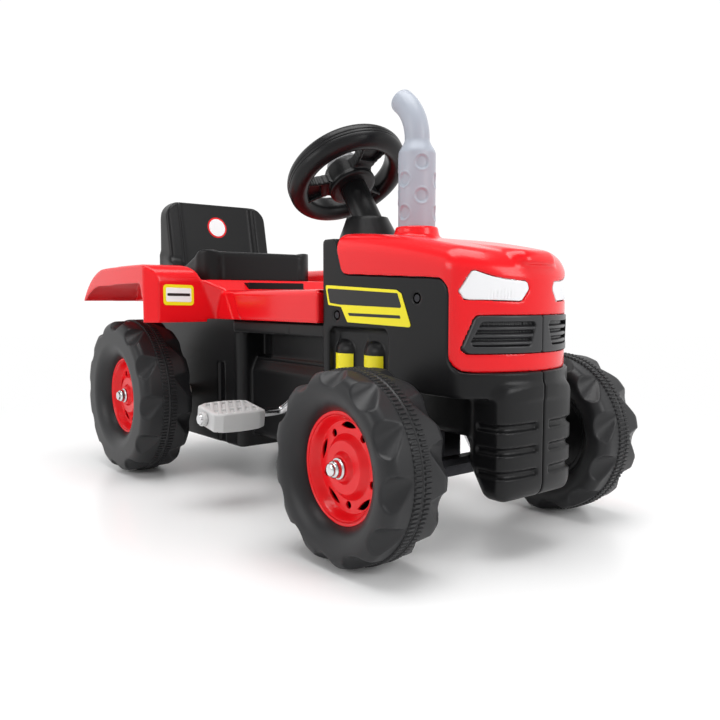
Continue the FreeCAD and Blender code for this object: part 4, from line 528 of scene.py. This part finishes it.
for label, section, low, high, step in (("front", front_section, (120, 0, 58), (398, 92, 342), 1.6),
                                        ("rear", rear_section, (-374, 0, 46), (150, 88, 270), 2.4)):
    lines = sample_lines(low, high, step)
    points, faces = surface(section(lines), lines)
    for side_name, side in SIDE_NAMES.items():
        half = on_side(points, faces, side)
        new_piece(f"body_{label}_{side_name}", *half, BLACK, "chassis", "black_plastic",
                  [f"body_{side_name}"])


# Seat: bucket with raised side walls, a creased front and a dished backrest.
SEAT_FOOT = 296.2
SEAT_FRONT = -154
SEAT_HALF_WIDTH = 102
BACK_FOOT = (-276, 297)
BACK_TOP = (-302, 431)
BACK_HALF_WIDTH = 95
BACK_RUN = BACK_FOOT[0] - BACK_TOP[0]
BACK_RISE = BACK_TOP[1] - BACK_FOOT[1]
BACK_SLANT = math.hypot(BACK_RUN, BACK_RISE)


def seat_form(lines):
    x, y, z = lines
    y = np.abs(y)
    pan = rounded_box((x, y, z), (-310, -SEAT_HALF_WIDTH, SEAT_FOOT), (SEAT_FRONT, SEAT_HALF_WIDTH, 317), 4)
    front = rounded_box((x, y, z), (-184, -SEAT_HALF_WIDTH, SEAT_FOOT), (SEAT_FRONT, SEAT_HALF_WIDTH, 341), 9)
    wall_view = rounded([(-327, SEAT_FOOT), (SEAT_FRONT, SEAT_FOOT), (SEAT_FRONT, 341), (-172, 341),
                         (-226, 319), (-254, 317), (-292, 336), (-327, 345)], [3, 3, 9, 12, 26, 22, 20, 3])
    inset = 7 * np.clip((-250 - x) / 60, 0, 1)
    walls = prism(outline(x, z, wall_view), y - 90 + inset, 12, 5)
    form = join(join(pan, front, 8), walls, 8)
    form = meet(form, corner_post(x, y, SEAT_FRONT, SEAT_HALF_WIDTH, 30), 2)
    back_view = rounded([BACK_FOOT, BACK_TOP, (-326, 431), (-329, 297)], [0, 9, 9, 4])
    back = prism(outline(x, z, back_view), y, BACK_HALF_WIDTH, 6)
    back = meet(back, corner_post(y, z, BACK_HALF_WIDTH, BACK_TOP[1], 32), 3)
    ahead = ((x - BACK_FOOT[0]) * BACK_RISE + (z - BACK_FOOT[1]) * BACK_RUN) / BACK_SLANT
    dish = np.maximum(y - 70, 322 - z)
    back = carve(back, meet(-8 - ahead, dish, 9), 3)
    form = join(form, back, 8)
    panel = rounded_box((x, y, z), (-155.5, -70, 285), (-140, 70, 360), 1)
    return carve(form, panel, 1)


lines = sample_lines((-330, -102, 296), (-154, 102, 431), 2.0)
new_piece("seat_bucket", *surface(seat_form(lines), lines), BLACK, "seat", "black_plastic", ["seat"])


# Steering wheel: grooved grip with three channelled spokes, in the leaning frame of the column.
COLUMN = Matrix.Translation(COLUMN_TOP.tolist()) @ Matrix.Rotation(-COLUMN_LEAN, 4, "Y")


def on_column(points):
    turn = np.array(COLUMN.to_3x3())
    return points @ turn.T + np.array(COLUMN.translation)


def steering_grip():
    """Grip with a section that is taller than wide and two thin grooves round its outside."""
    count = 168
    ring_radius = 70
    thick = 13
    half_tall = 4
    outside = np.linspace(-half_tall, half_tall, 17)[1:-1]
    dent = 0.9 * np.exp(-((np.abs(outside) - 2.2) / 0.45) ** 2)
    section = [(thick * math.cos(a), half_tall + thick * math.sin(a)) for a in np.linspace(0, math.pi, 25)]
    section += [(-thick * math.cos(a), -half_tall - thick * math.sin(a)) for a in np.linspace(0, math.pi, 25)]
    section += list(zip(thick - dent, outside))
    section = np.array(section)
    angles = np.linspace(0, 2 * math.pi, count, endpoint=False)[:, None]
    reach = ring_radius + section[:, 0]
    points = np.stack([reach * np.cos(angles), reach * np.sin(angles),
                       np.broadcast_to(section[:, 1], (count, len(section)))], -1)
    return on_column(points.reshape(-1, 3)), ring_faces(count, len(section))


def spoke_form(lines):
    """Hub with a flange below it and three deep spokes that widen to the grip."""
    x, y, z = lines
    reach = np.hypot(x, y)
    hub = meet(reach - 29.5 + 0 * z, np.abs(z + 7) - 17, 4)
    form = join(hub, meet(reach - 32 + 0 * z, np.abs(z + 20) - 3.5, 3), 3)
    for number in range(3):
        turn = number * 2 * math.pi / 3
        along = x * math.cos(turn) + y * math.sin(turn)
        beside = np.abs(-x * math.sin(turn) + y * math.cos(turn))
        width = 14 + 5 * np.clip((along - 32) / 26, 0, 1) ** 2 + 0.5 * np.sin(along * 0.9)
        ends = np.maximum(12 - along, along - 66)
        arm = np.maximum(np.maximum(beside - width, np.abs(z + 7.5) - 7.5), ends)
        groove = np.maximum(np.maximum(beside - width + 4, -z - 6), np.maximum(34 - along, along - 90))
        under = np.maximum(np.maximum(beside - width + 4, z + 9), np.maximum(42 - along, along - 90))
        form = join(form, carve(carve(arm, groove, 2), under, 2), 4)
    well = np.maximum(reach - 21.6, -z)
    return carve(form, well)


lines = sample_lines((-68, -68, -26), (68, 68, 12), 1.3)
points, faces = surface(spoke_form(lines), lines)
new_piece("steering_grip", *steering_grip(), BLACK, "steering", "black_plastic", ["steering_wheel"])
new_piece("steering_spokes", on_column(points), faces, BLACK, "steering", "black_plastic",
          ["steering_wheel"])


# Exhaust: dimpled stack that narrows into a bent neck with a closed, rounded tip.
def exhaust_pipe():
    foot = 352.0
    shoulder = 441.0
    neck = 459.0
    wide = 22.5
    narrow = 15.0
    bend = 60.0
    turn = math.radians(50)
    tip = 12.0
    tip_round = 5.0
    stations = [(0, z, wide, 0) for z in np.arange(foot, shoulder, 1.0)]
    for share in np.linspace(0, 1, 22):
        ease = share * share * (3 - 2 * share)
        stations.append((0, shoulder + (neck - shoulder) * share, wide + (narrow - wide) * ease, 0))
    for angle in np.linspace(0, turn, 40)[1:]:
        stations.append((-bend * (1 - math.cos(angle)), neck + bend * math.sin(angle), narrow, angle))
    end_x, end_z = stations[-1][:2]
    straight = [(reach, narrow) for reach in np.linspace(0, tip - tip_round, 12)[1:]]
    straight += [(tip - tip_round + tip_round * math.sin(a), narrow - tip_round + tip_round * math.cos(a))
                 for a in np.linspace(0, math.pi / 2, 9)[1:]]
    for reach, radius in straight:
        stations.append((end_x - reach * math.sin(turn), end_z + reach * math.cos(turn), radius, turn))
    count = 144
    around = np.linspace(0, 2 * math.pi, count, endpoint=False)
    centre_x, centre_z, radius, lean = (np.array(row)[:, None] for row in zip(*stations))
    dimpled = np.broadcast_to(radius, (len(stations), count)).copy()
    for column in range(6):
        heading = math.radians(32 + 60 * column)
        for height in np.arange(371 + 19.5 * (column % 2), 436, 39):
            gap = np.angle(np.exp(1j * (around - heading)))[None, :] * wide
            off = np.hypot(gap, centre_z - height)
            pit = np.clip((8.6 - off) / 1.8, 0, 1)
            dimpled -= 2.0 * pit * pit * (3 - 2 * pit) - 0.5 * np.exp(-((off - 9.6) / 0.9) ** 2)
    side = dimpled * np.cos(around)
    points = np.stack([centre_x + side * np.cos(lean), dimpled * np.sin(around),
                       centre_z + side * np.sin(lean)], -1)
    rows = len(stations)
    row, column = np.meshgrid(np.arange(rows - 1), np.arange(count), indexing="ij")
    beside = (column + 1) % count
    faces = np.stack([row * count + column, row * count + beside, (row + 1) * count + beside,
                      (row + 1) * count + column], -1).reshape(-1, 4).tolist()
    faces.append(list(range((rows - 1) * count, rows * count)))
    faces.append(list(range(count))[::-1])
    return points.reshape(-1, 3) + (200, 0, 0), faces


new_piece("exhaust_stack", *exhaust_pipe(), GREY, "chassis", "grey_plastic", ["exhaust_pipe"], sharp=70)


# Grille halves: curved plates with a sunk field and three louvres.
def hood_front(x, y):
    """Flat field of the hood seen from above."""
    return bowed_plan(x, y, 91, 118, 30)


def grille_form(lines):
    x, y, z = lines
    front = hood_front(x, y)
    frame_view = rounded([(0.3, 213.4), (84.6, 213.4), (72.6, 251.6), (0.3, 251.6)], [3, 6, 6, 3])
    form = meet(np.maximum(front - 1.5, -5 - front), outline(y, z, frame_view), 1.5)
    field = rounded([(17, 220.5), (79, 220.5), (68.5, 245.5), (9, 245.5)], [4, 4, 4, 4])
    form = carve(form, np.maximum(-4.2 - front, outline(y, z, field)), 1.0)
    for height in (223.6, 231.2, 238.8):
        louvre = np.hypot((z - height) / 2.6, (front + 4.0) / 4.6) * 2.6 - 2.6
        form = join(form, np.maximum(louvre, outline(y, z, field)), 0.6)
    return form


lines = sample_lines((340, 0, 212), (392, 88, 253), 0.8)
points, faces = surface(grille_form(lines), lines)
# The grille plates take the lighter black, whose extra brightness is a painted reflection of the front lamp.
for side_name, side in SIDE_NAMES.items():
    half = on_side(points, faces, side)
    new_piece(f"grille_face_{side_name}", *half, GRILLE_PAINTED_SHEEN, "chassis", "black_plastic",
              [f"grille_{side_name}"])


# Hood: red cover with a soft raised lid, a collar for the exhaust and windows for lamps and grille.
LENS_VIEW = [(75, 297.3), (66.7, 293.7), (58.4, 290.6), (48, 288.2), (38, 286.9), (22, 286.2),
             (19.2, 278.5), (28.4, 266.2), (81, 268), (84.5, 276.4)]
LENS_ROUND = [3, 0, 0, 0, 0, 5, 4, 5, 4, 2.5]


def hood_form(lines):
    x, y, z = lines
    y = np.abs(y)
    roof = np.array(arc((393, 310), (138, 347), 1100, 40))[::-1]
    front = hood_front(x, y)
    form = round_meet(front, z - np.interp(x, roof[:, 0], roof[:, 1]), 25)
    shell = carve(form, form + SKIN)
    side_view = rounded([(168.4, 297.4), (341.4, 289.4), (341.4, 194.4), (400, 194.4), (400, 360),
                         (153.4, 360), (153.4, 340)], [12, 17, 20, 0, 0, 0, 2])
    shell = meet(shell, outline(x, z, side_view), 1.2)
    lid_top = np.interp(x, (299, 345, 391), (327, 323.5, 317))
    lid = round_meet(bowed_plan(x, y, 32, 118.7, 18), z - lid_top, 12)
    shell = join(shell, meet(lid, np.maximum(303.5 - z, 285 - x), 3), 6)
    collar = np.hypot(x - 200, y) - np.interp(z, (337, 355), (29, 25.5))
    shell = join(shell, meet(collar, np.maximum(z - 355, 330 - z), 2.5), 5)
    lamp = np.maximum(outline(y, z, rounded(LENS_VIEW, LENS_ROUND)) - 0.6, 345 - x)
    grille = rounded([(-9, 213), (85, 213), (73, 252), (-9, 252)], [0, 6, 6, 0])
    return carve(carve(shell, lamp, 1.2), np.maximum(outline(y, z, grille), 330 - x), 1)


lines = sample_lines((151, -92, 193), (393, 92, 357), 1.6)
new_piece("hood_cover", *surface(hood_form(lines), lines), RED, "chassis", "red_plastic", ["hood"])


def lens_form(lines):
    """Clear lens over a headlamp with a row of upright flutes."""
    x, y, z = lines
    front = hood_front(x, y)
    fluted = np.clip((63 - y) / 4, 0, 1) * np.clip((y - 36) / 4, 0, 1) * np.clip((279 - z) / 5, 0, 1)
    front = front + 0.5 * fluted * (1 + np.cos(2 * math.pi * y / 3.4))
    return meet(np.maximum(front + 0.3, -3 - front), outline(y, z, rounded(LENS_VIEW, LENS_ROUND)), 0.8)


lines = sample_lines((350, 18, 265), (390, 86, 299), 0.7)
points, faces = surface(lens_form(lines), lines)
for side_name, side in SIDE_NAMES.items():
    half = on_side(points, faces, side)
    new_piece(f"lamp_lens_{side_name}", *half, LENS, "chassis", "clear_lens",
              [f"headlight_lens_{side_name}"])


# Deck: saddle between two mudguards with chamfered corners, a gusset down to the deck and slanting bands.
GUARD_FRONT = -133
GUARD_SIDE = 201
GUARD_CHAMFER = 15
DECK_FOOT = 238.4
DECK_TOP = 280
ARCH_FRONT = -152.5
ARCH_LIP = 264
SADDLE_BACK = -384


def deck_form(lines):
    x, y, z = lines
    y = np.abs(y)
    guard_top = [(GUARD_FRONT, 225), (GUARD_FRONT, 294)] + arc((GUARD_FRONT, 294), (-157, 318), 26.4)[1:]
    guard_top += arc((-157, 318), (-312, 315), 2200)[1:] + arc((-312, 315), (-396, 266), 134)[1:]
    guard = outline(x, z, guard_top + [(-396, 225)])
    end_view = rounded([(GUARD_SIDE, 215), (GUARD_SIDE, 318.5), (127, 318.5), (90, 228), (90, 215)],
                       [0, 5, 24, 0, 0])
    corner = (x + y - (GUARD_SIDE + GUARD_FRONT - GUARD_CHAMFER)) / math.sqrt(2)
    section = outline(y, z, end_view)
    outside = meet(round_meet(guard, section, 3), corner, 1.5)
    inside = np.maximum(np.maximum(guard + SKIN, section + SKIN), np.maximum(111 - y, corner + SKIN))
    gusset = (x + 1.04 * y - 0.43 * (z - 242) + 33) / 1.51
    slope = z - DECK_TOP - 16 * np.clip((-109 - x) / 24, 0, 1)
    gusset = meet(np.maximum(gusset, -150 - x), np.maximum(slope, DECK_FOOT - z), 3)
    saddle = rounded_box((x, y, z), (SADDLE_BACK, -108, DECK_FOOT), (GUARD_FRONT, 108, 295.7), 3)
    deck = prism(np.maximum(np.abs(x + 6) - 130.6, DECK_FOOT - z), y, 95, 1)
    deck = round_meet(deck, z - DECK_TOP + 0 * x, 8)
    band = np.abs(x + 98.5 - 0.58 * (282 - z)) - 10.7
    deck = carve(deck, np.maximum(band, 93.4 - y), 1)
    form = join(join(outside, saddle), join(deck, gusset, 3), 3)
    hollow = np.maximum(np.maximum(-142 - x, x - 121.6), np.maximum(y - 89, z - 277))
    hollow = np.minimum(hollow, np.maximum(np.maximum(-381 - x, x + 136), np.maximum(y - 105, z - 292.7)))
    opening = [(-430, 200), (-430, 262), (-388, 265)] + arc((-312, 288), (-387, 266), 134)[::-1]
    opening += [(-163, 291), (ARCH_FRONT, ARCH_LIP), (ARCH_FRONT, 200)]
    opening = np.maximum(outline(x, z, rounded(opening, [0] * (len(opening) - 3) + [8, 8, 0])), 150 - y)
    below = np.maximum(np.maximum(x - ARCH_FRONT, z - ARCH_LIP), 100 - y)
    behind = np.maximum(x - SADDLE_BACK, z - ARCH_LIP) + 0 * y
    form = carve(carve(carve(carve(form, inside), hollow), opening, 1), np.minimum(below, behind), 1)
    return meet(form, np.maximum(234 - z, DECK_FOOT - z - 200 * np.clip(y - 108, 0, 1)), 0.5)


lines = sample_lines((-397, -202, 233), (126, 202, 319), 2.0)
new_piece("deck_cover", *surface(deck_form(lines), lines), RED, "chassis", "red_plastic", ["rear_deck"])


# Pedals: bowed blocks with slanting grip grooves, tipped forward on their crank pins.
PEDAL_PINS = {"right": (18.8, 117), "left": (119.2, 175)}
PEDAL_Y = 157
PEDAL_TILT = math.radians(9)


def pedal_form(lines):
    along, across, height = lines
    plan = rounded([(-24, -37), (24, -37), (28, -26), (29, 0), (28, 26), (22, 37), (-22, 37), (-28, 26),
                    (-29, 0), (-28, -26)], [3] * 10)
    thick = 13 - 1.2 * (across / 37) ** 2
    form = round_meet(outline(along, across, plan) + 0 * height, np.abs(height) - thick + 0 * along, 3)
    groove = np.abs(np.mod(across - 0.5 * along + 5.6, 11.2) - 5.6) - 2.7
    groove = np.maximum(groove, np.abs(across) - 31)
    groove = np.maximum(groove, np.maximum(np.abs(along) - 23, 2.2 - np.abs(along - 4)))
    return carve(form, np.maximum(groove, 10 - np.abs(height)), 1.2)


lines = sample_lines((-30, -38, -14), (30, 38, 14), 1.0)
points, faces = surface(pedal_form(lines), lines)
tipped = points @ np.array(Matrix.Rotation(PEDAL_TILT, 3, "Y")).T
for side_name, side in SIDE_NAMES.items():
    pin_x, pin_z = PEDAL_PINS[side_name]
    half = on_side(tipped, faces, side)
    block = half[0] + (pin_x, side * PEDAL_Y, pin_z)
    new_piece(f"pedal_block_{side_name}", block, half[1], PEDAL, f"pedal_{side_name}", "pedal_plastic",
              [f"pedal_{side_name}"])


# Stickers: a yellow plate with a black field on each side panel, plain labels and a bare ring badge.
def plate(name, path, depth, place, material, body="chassis", thick=0.5):
    """Thin plate over a closed outline; place turns outline and depth into a point."""
    count = len(path)
    points = [place(u, v, depth - thick) for u, v in path] + [place(u, v, depth) for u, v in path]
    points = np.array(points, float)
    top = points[count:]
    area = np.cross(top, np.roll(top, -1, 0)).sum(0)
    outward = (top - points[:count]).mean(0)
    faces = [tuple(range(count, 2 * count))]
    faces += [(k, (k + 1) % count, count + (k + 1) % count, count + k) for k in range(count)]
    if area.dot(outward) < 0:
        faces = [face[::-1] for face in faces]
    new_piece(name, points, faces, material, body, None)


def bottle_label(name, middle, low_x, high_x, low_z, high_z, side):
    """Thin label that wraps the front of a bottle."""
    outer = BOTTLE_RADIUS + 0.4
    inner = BOTTLE_RADIUS - 0.1
    turns = np.linspace(math.asin((low_x - middle) / outer), math.asin((high_x - middle) / outer), 17)
    rows = []
    for radius, z in ((inner, low_z), (outer, low_z), (outer, high_z), (inner, high_z)):
        rows.append([(middle + radius * math.sin(a), side * (BOTTLE_Y + radius * math.cos(a)), z)
                     for a in turns])
    points = np.array(rows).reshape(-1, 3)
    count = len(turns)
    faces = []
    for row in range(3):
        for k in range(count - 1):
            here = row * count + k
            face = [here, here + 1, here + count + 1, here + count]
            faces.append(face if side < 0 else face[::-1])
    new_piece(name, points, faces, YELLOW, "chassis", None)


for side_name, side in SIDE_NAMES.items():
    def on_panel(u, v, depth):
        return u, side * depth, v

    def on_guard(u, v, depth):
        return depth, side * u, v

    outer = [(135, 285), (264, 278), (272, 274), (288, 238), (178, 241), (166, 259), (141, 261)]
    field = [(139, 281), (266, 274.5), (273, 258.5), (164, 261.5), (144, 263.5)]
    stripe = [(179, 252), (270, 250.5), (271.5, 247), (182, 248.5)]
    plate(f"panel_sticker_{side_name}", rounded(outer, [2.5] * 7), 90.2, on_panel, YELLOW)
    plate(f"panel_sticker_field_{side_name}", rounded(field, [2] * 5), 90.35, on_panel, INK)
    plate(f"panel_sticker_stripe_{side_name}", rounded(stripe, [0.8] * 4), 90.35, on_panel, INK)
    tag = [(178, 259.5), (131, 258.5), (131, 288), (178, 289)]
    core = [(174, 264.5), (135, 263.5), (135, 283.5), (174, 284.5)]
    line = [(172, 272.5), (137, 272), (137, 276), (172, 276.5)]
    plate(f"guard_sticker_{side_name}", rounded(tag, [5] * 4), -132.7, on_guard, YELLOW)
    plate(f"guard_sticker_field_{side_name}", rounded(core, [2] * 4), -132.55, on_guard, WHITE)
    plate(f"guard_sticker_line_{side_name}", rounded(line, [1] * 4), -132.4, on_guard, INK)
    bottle_label(f"bottle_label_rear_{side_name}", 162, 142.5, 179, 184, 203.5, side)
    bottle_label(f"bottle_label_front_{side_name}", 216, 195.5, 233, 186, 203.5, side)


def on_backrest(u, v, depth):
    """Place on the dished front of the leaning backrest; u runs across and v up along it."""
    run = BACK_RUN / BACK_SLANT
    rise = BACK_RISE / BACK_SLANT
    return BACK_FOOT[0] - run * v + rise * depth, u, BACK_FOOT[1] + rise * v + run * depth


for label, radius, depth, material in (("ring", 18, -7.7, RED), ("disc", 15.2, -7.5, WHITE)):
    circle = [(radius * math.cos(a), 97 + radius * math.sin(a))
              for a in np.linspace(0, 2 * math.pi, 48, endpoint=False)]
    plate(f"seat_badge_{label}", circle, depth, on_backrest, material, "seat")


# Bright ends of the front stub axles.
def stub_end(name, side, body):
    profile = [(6.6, 195.5), (6.6, 198.2), (5.8, 199.2), (3.5, 199.8), (0.4, 200)]
    count = 32
    turns = np.linspace(0, 2 * math.pi, count, endpoint=False)
    points = [(FRONT_AXLE_X + r * math.cos(a), side * y, FRONT_CROWN + r * math.sin(a))
              for r, y in profile for a in turns]
    faces = []
    for row in range(len(profile) - 1):
        for k in range(count):
            beside = (k + 1) % count
            below = row + 1
            face = [row * count + k, below * count + k, below * count + beside, row * count + beside]
            faces.append(face if side > 0 else face[::-1])
    last = list(range((len(profile) - 1) * count, len(profile) * count))
    faces.append(last[::-1] if side > 0 else last)
    new_piece(name, points, faces, CHROME, body, "plated_steel")


for side_name, side in SIDE_NAMES.items():
    stub_end(f"stub_end_{side_name}", side, f"knuckle_{side_name}")


# Studio: pale floor that runs out to white, soft lamps and the photograph's camera.
def studio_floor():
    size = 9.0
    mesh = bpy.data.meshes.new("floor")
    corners = [(-size, -size, 0), (size, -size, 0), (size, size, 0), (-size, size, 0)]
    mesh.from_pydata(corners, [], [(0, 1, 2, 3)])
    floor = bpy.data.objects.new("floor", mesh)
    scene.collection.objects.link(floor)
    material, nodes, links, shader = new_material("floor_white")
    shader.inputs["Base Color"].default_value = (0.93, 0.93, 0.93, 1)
    shader.inputs["Roughness"].default_value = 0.28
    shader.inputs["Specular IOR Level"].default_value = 0.3
    place = nodes.new("ShaderNodeTexCoord")
    reach = nodes.new("ShaderNodeVectorMath")
    reach.operation = "LENGTH"
    links.new(place.outputs["Object"], reach.inputs[0])
    fade = nodes.new("ShaderNodeMapRange")
    fade.interpolation_type = "SMOOTHSTEP"
    fade.inputs["From Min"].default_value = 0.3
    fade.inputs["From Max"].default_value = 1.1
    links.new(reach.outputs["Value"], fade.inputs["Value"])
    glow = nodes.new("ShaderNodeEmission")
    blend = nodes.new("ShaderNodeMixShader")
    links.new(fade.outputs["Result"], blend.inputs["Fac"])
    links.new(shader.outputs["BSDF"], blend.inputs[1])
    links.new(glow.outputs["Emission"], blend.inputs[2])
    links.new(blend.outputs["Shader"], nodes["Material Output"].inputs["Surface"])
    mesh.materials.append(material)


def lamp(name, place, aim, width, height, power):
    light = bpy.data.lights.new(name, "AREA")
    light.shape = "RECTANGLE"
    light.size = width
    light.size_y = height
    light.energy = power
    holder = bpy.data.objects.new(name, light)
    holder.location = place
    holder.rotation_euler = (Vector(aim) - Vector(place)).to_track_quat("-Z", "Y").to_euler()
    scene.collection.objects.link(holder)


def studio_world(level):
    """Plain grey surroundings that light the object evenly."""
    world = bpy.data.worlds.new("studio")
    world.use_nodes = True
    background = world.node_tree.nodes["Background"]
    background.inputs["Color"].default_value = (1, 1, 1, 1)
    background.inputs["Strength"].default_value = level
    scene.world = world


def backdrop():
    """Round wall, white behind the tractor as the camera sees it and pale grey on the near side."""
    radius, height, steps = 5.0, 4.5, 48
    far_side = (-0.777, 0.629, 0)
    turns = [2 * math.pi * step / steps for step in range(steps)]
    points = [(radius * math.cos(a), radius * math.sin(a), z) for z in (-0.01, height) for a in turns]
    faces = [((k + 1) % steps, k, steps + k, steps + (k + 1) % steps) for k in range(steps)]
    mesh = bpy.data.meshes.new("backdrop")
    mesh.from_pydata(points, [], faces)
    wall = bpy.data.objects.new("backdrop", mesh)
    scene.collection.objects.link(wall)
    material, nodes, links, shader = new_material("backdrop_white")
    shader.inputs["Base Color"].default_value = (0, 0, 0, 1)
    shader.inputs["Emission Color"].default_value = (1, 1, 1, 1)
    place = nodes.new("ShaderNodeTexCoord")
    bearing = nodes.new("ShaderNodeVectorMath")
    bearing.operation = "DOT_PRODUCT"
    bearing.inputs[1].default_value = far_side
    links.new(place.outputs["Object"], bearing.inputs[0])
    level = nodes.new("ShaderNodeMapRange")
    level.interpolation_type = "SMOOTHSTEP"
    level.inputs["From Min"].default_value = -radius
    level.inputs["From Max"].default_value = 0.3 * radius
    level.inputs["To Min"].default_value = 0.6
    level.inputs["To Max"].default_value = 1.0
    links.new(bearing.outputs["Value"], level.inputs["Value"])
    links.new(level.outputs["Result"], shader.inputs["Emission Strength"])
    mesh.materials.append(material)


def photo_camera():
    camera = bpy.data.cameras.new("camera")
    camera.sensor_width = 36.0
    camera.lens = 37.45
    holder = bpy.data.objects.new("camera", camera)
    place = Vector((871.6, -632.8, 268.6)) * MM
    aim = Vector((90.6, 0, 186.2)) * MM
    holder.location = place
    holder.rotation_euler = (aim - place).to_track_quat("-Z", "Y").to_euler()
    scene.collection.objects.link(holder)
    scene.camera = holder


studio_floor()
backdrop()
studio_world(0.36)
lamp("softbox_top", (0.2, -0.1, 2.2), (0.05, 0, 0.2), 1.8, 1.3, 35)
lamp("softbox_front", (2.2, 0.5, 1.2), (0.2, 0, 0.2), 0.9, 1.2, 16)
lamp("softbox_right", (-0.2, -2.4, 1.1), (0, 0, 0.2), 1.2, 1.0, 12)
photo_camera()
scene.view_settings.view_transform = "Standard"
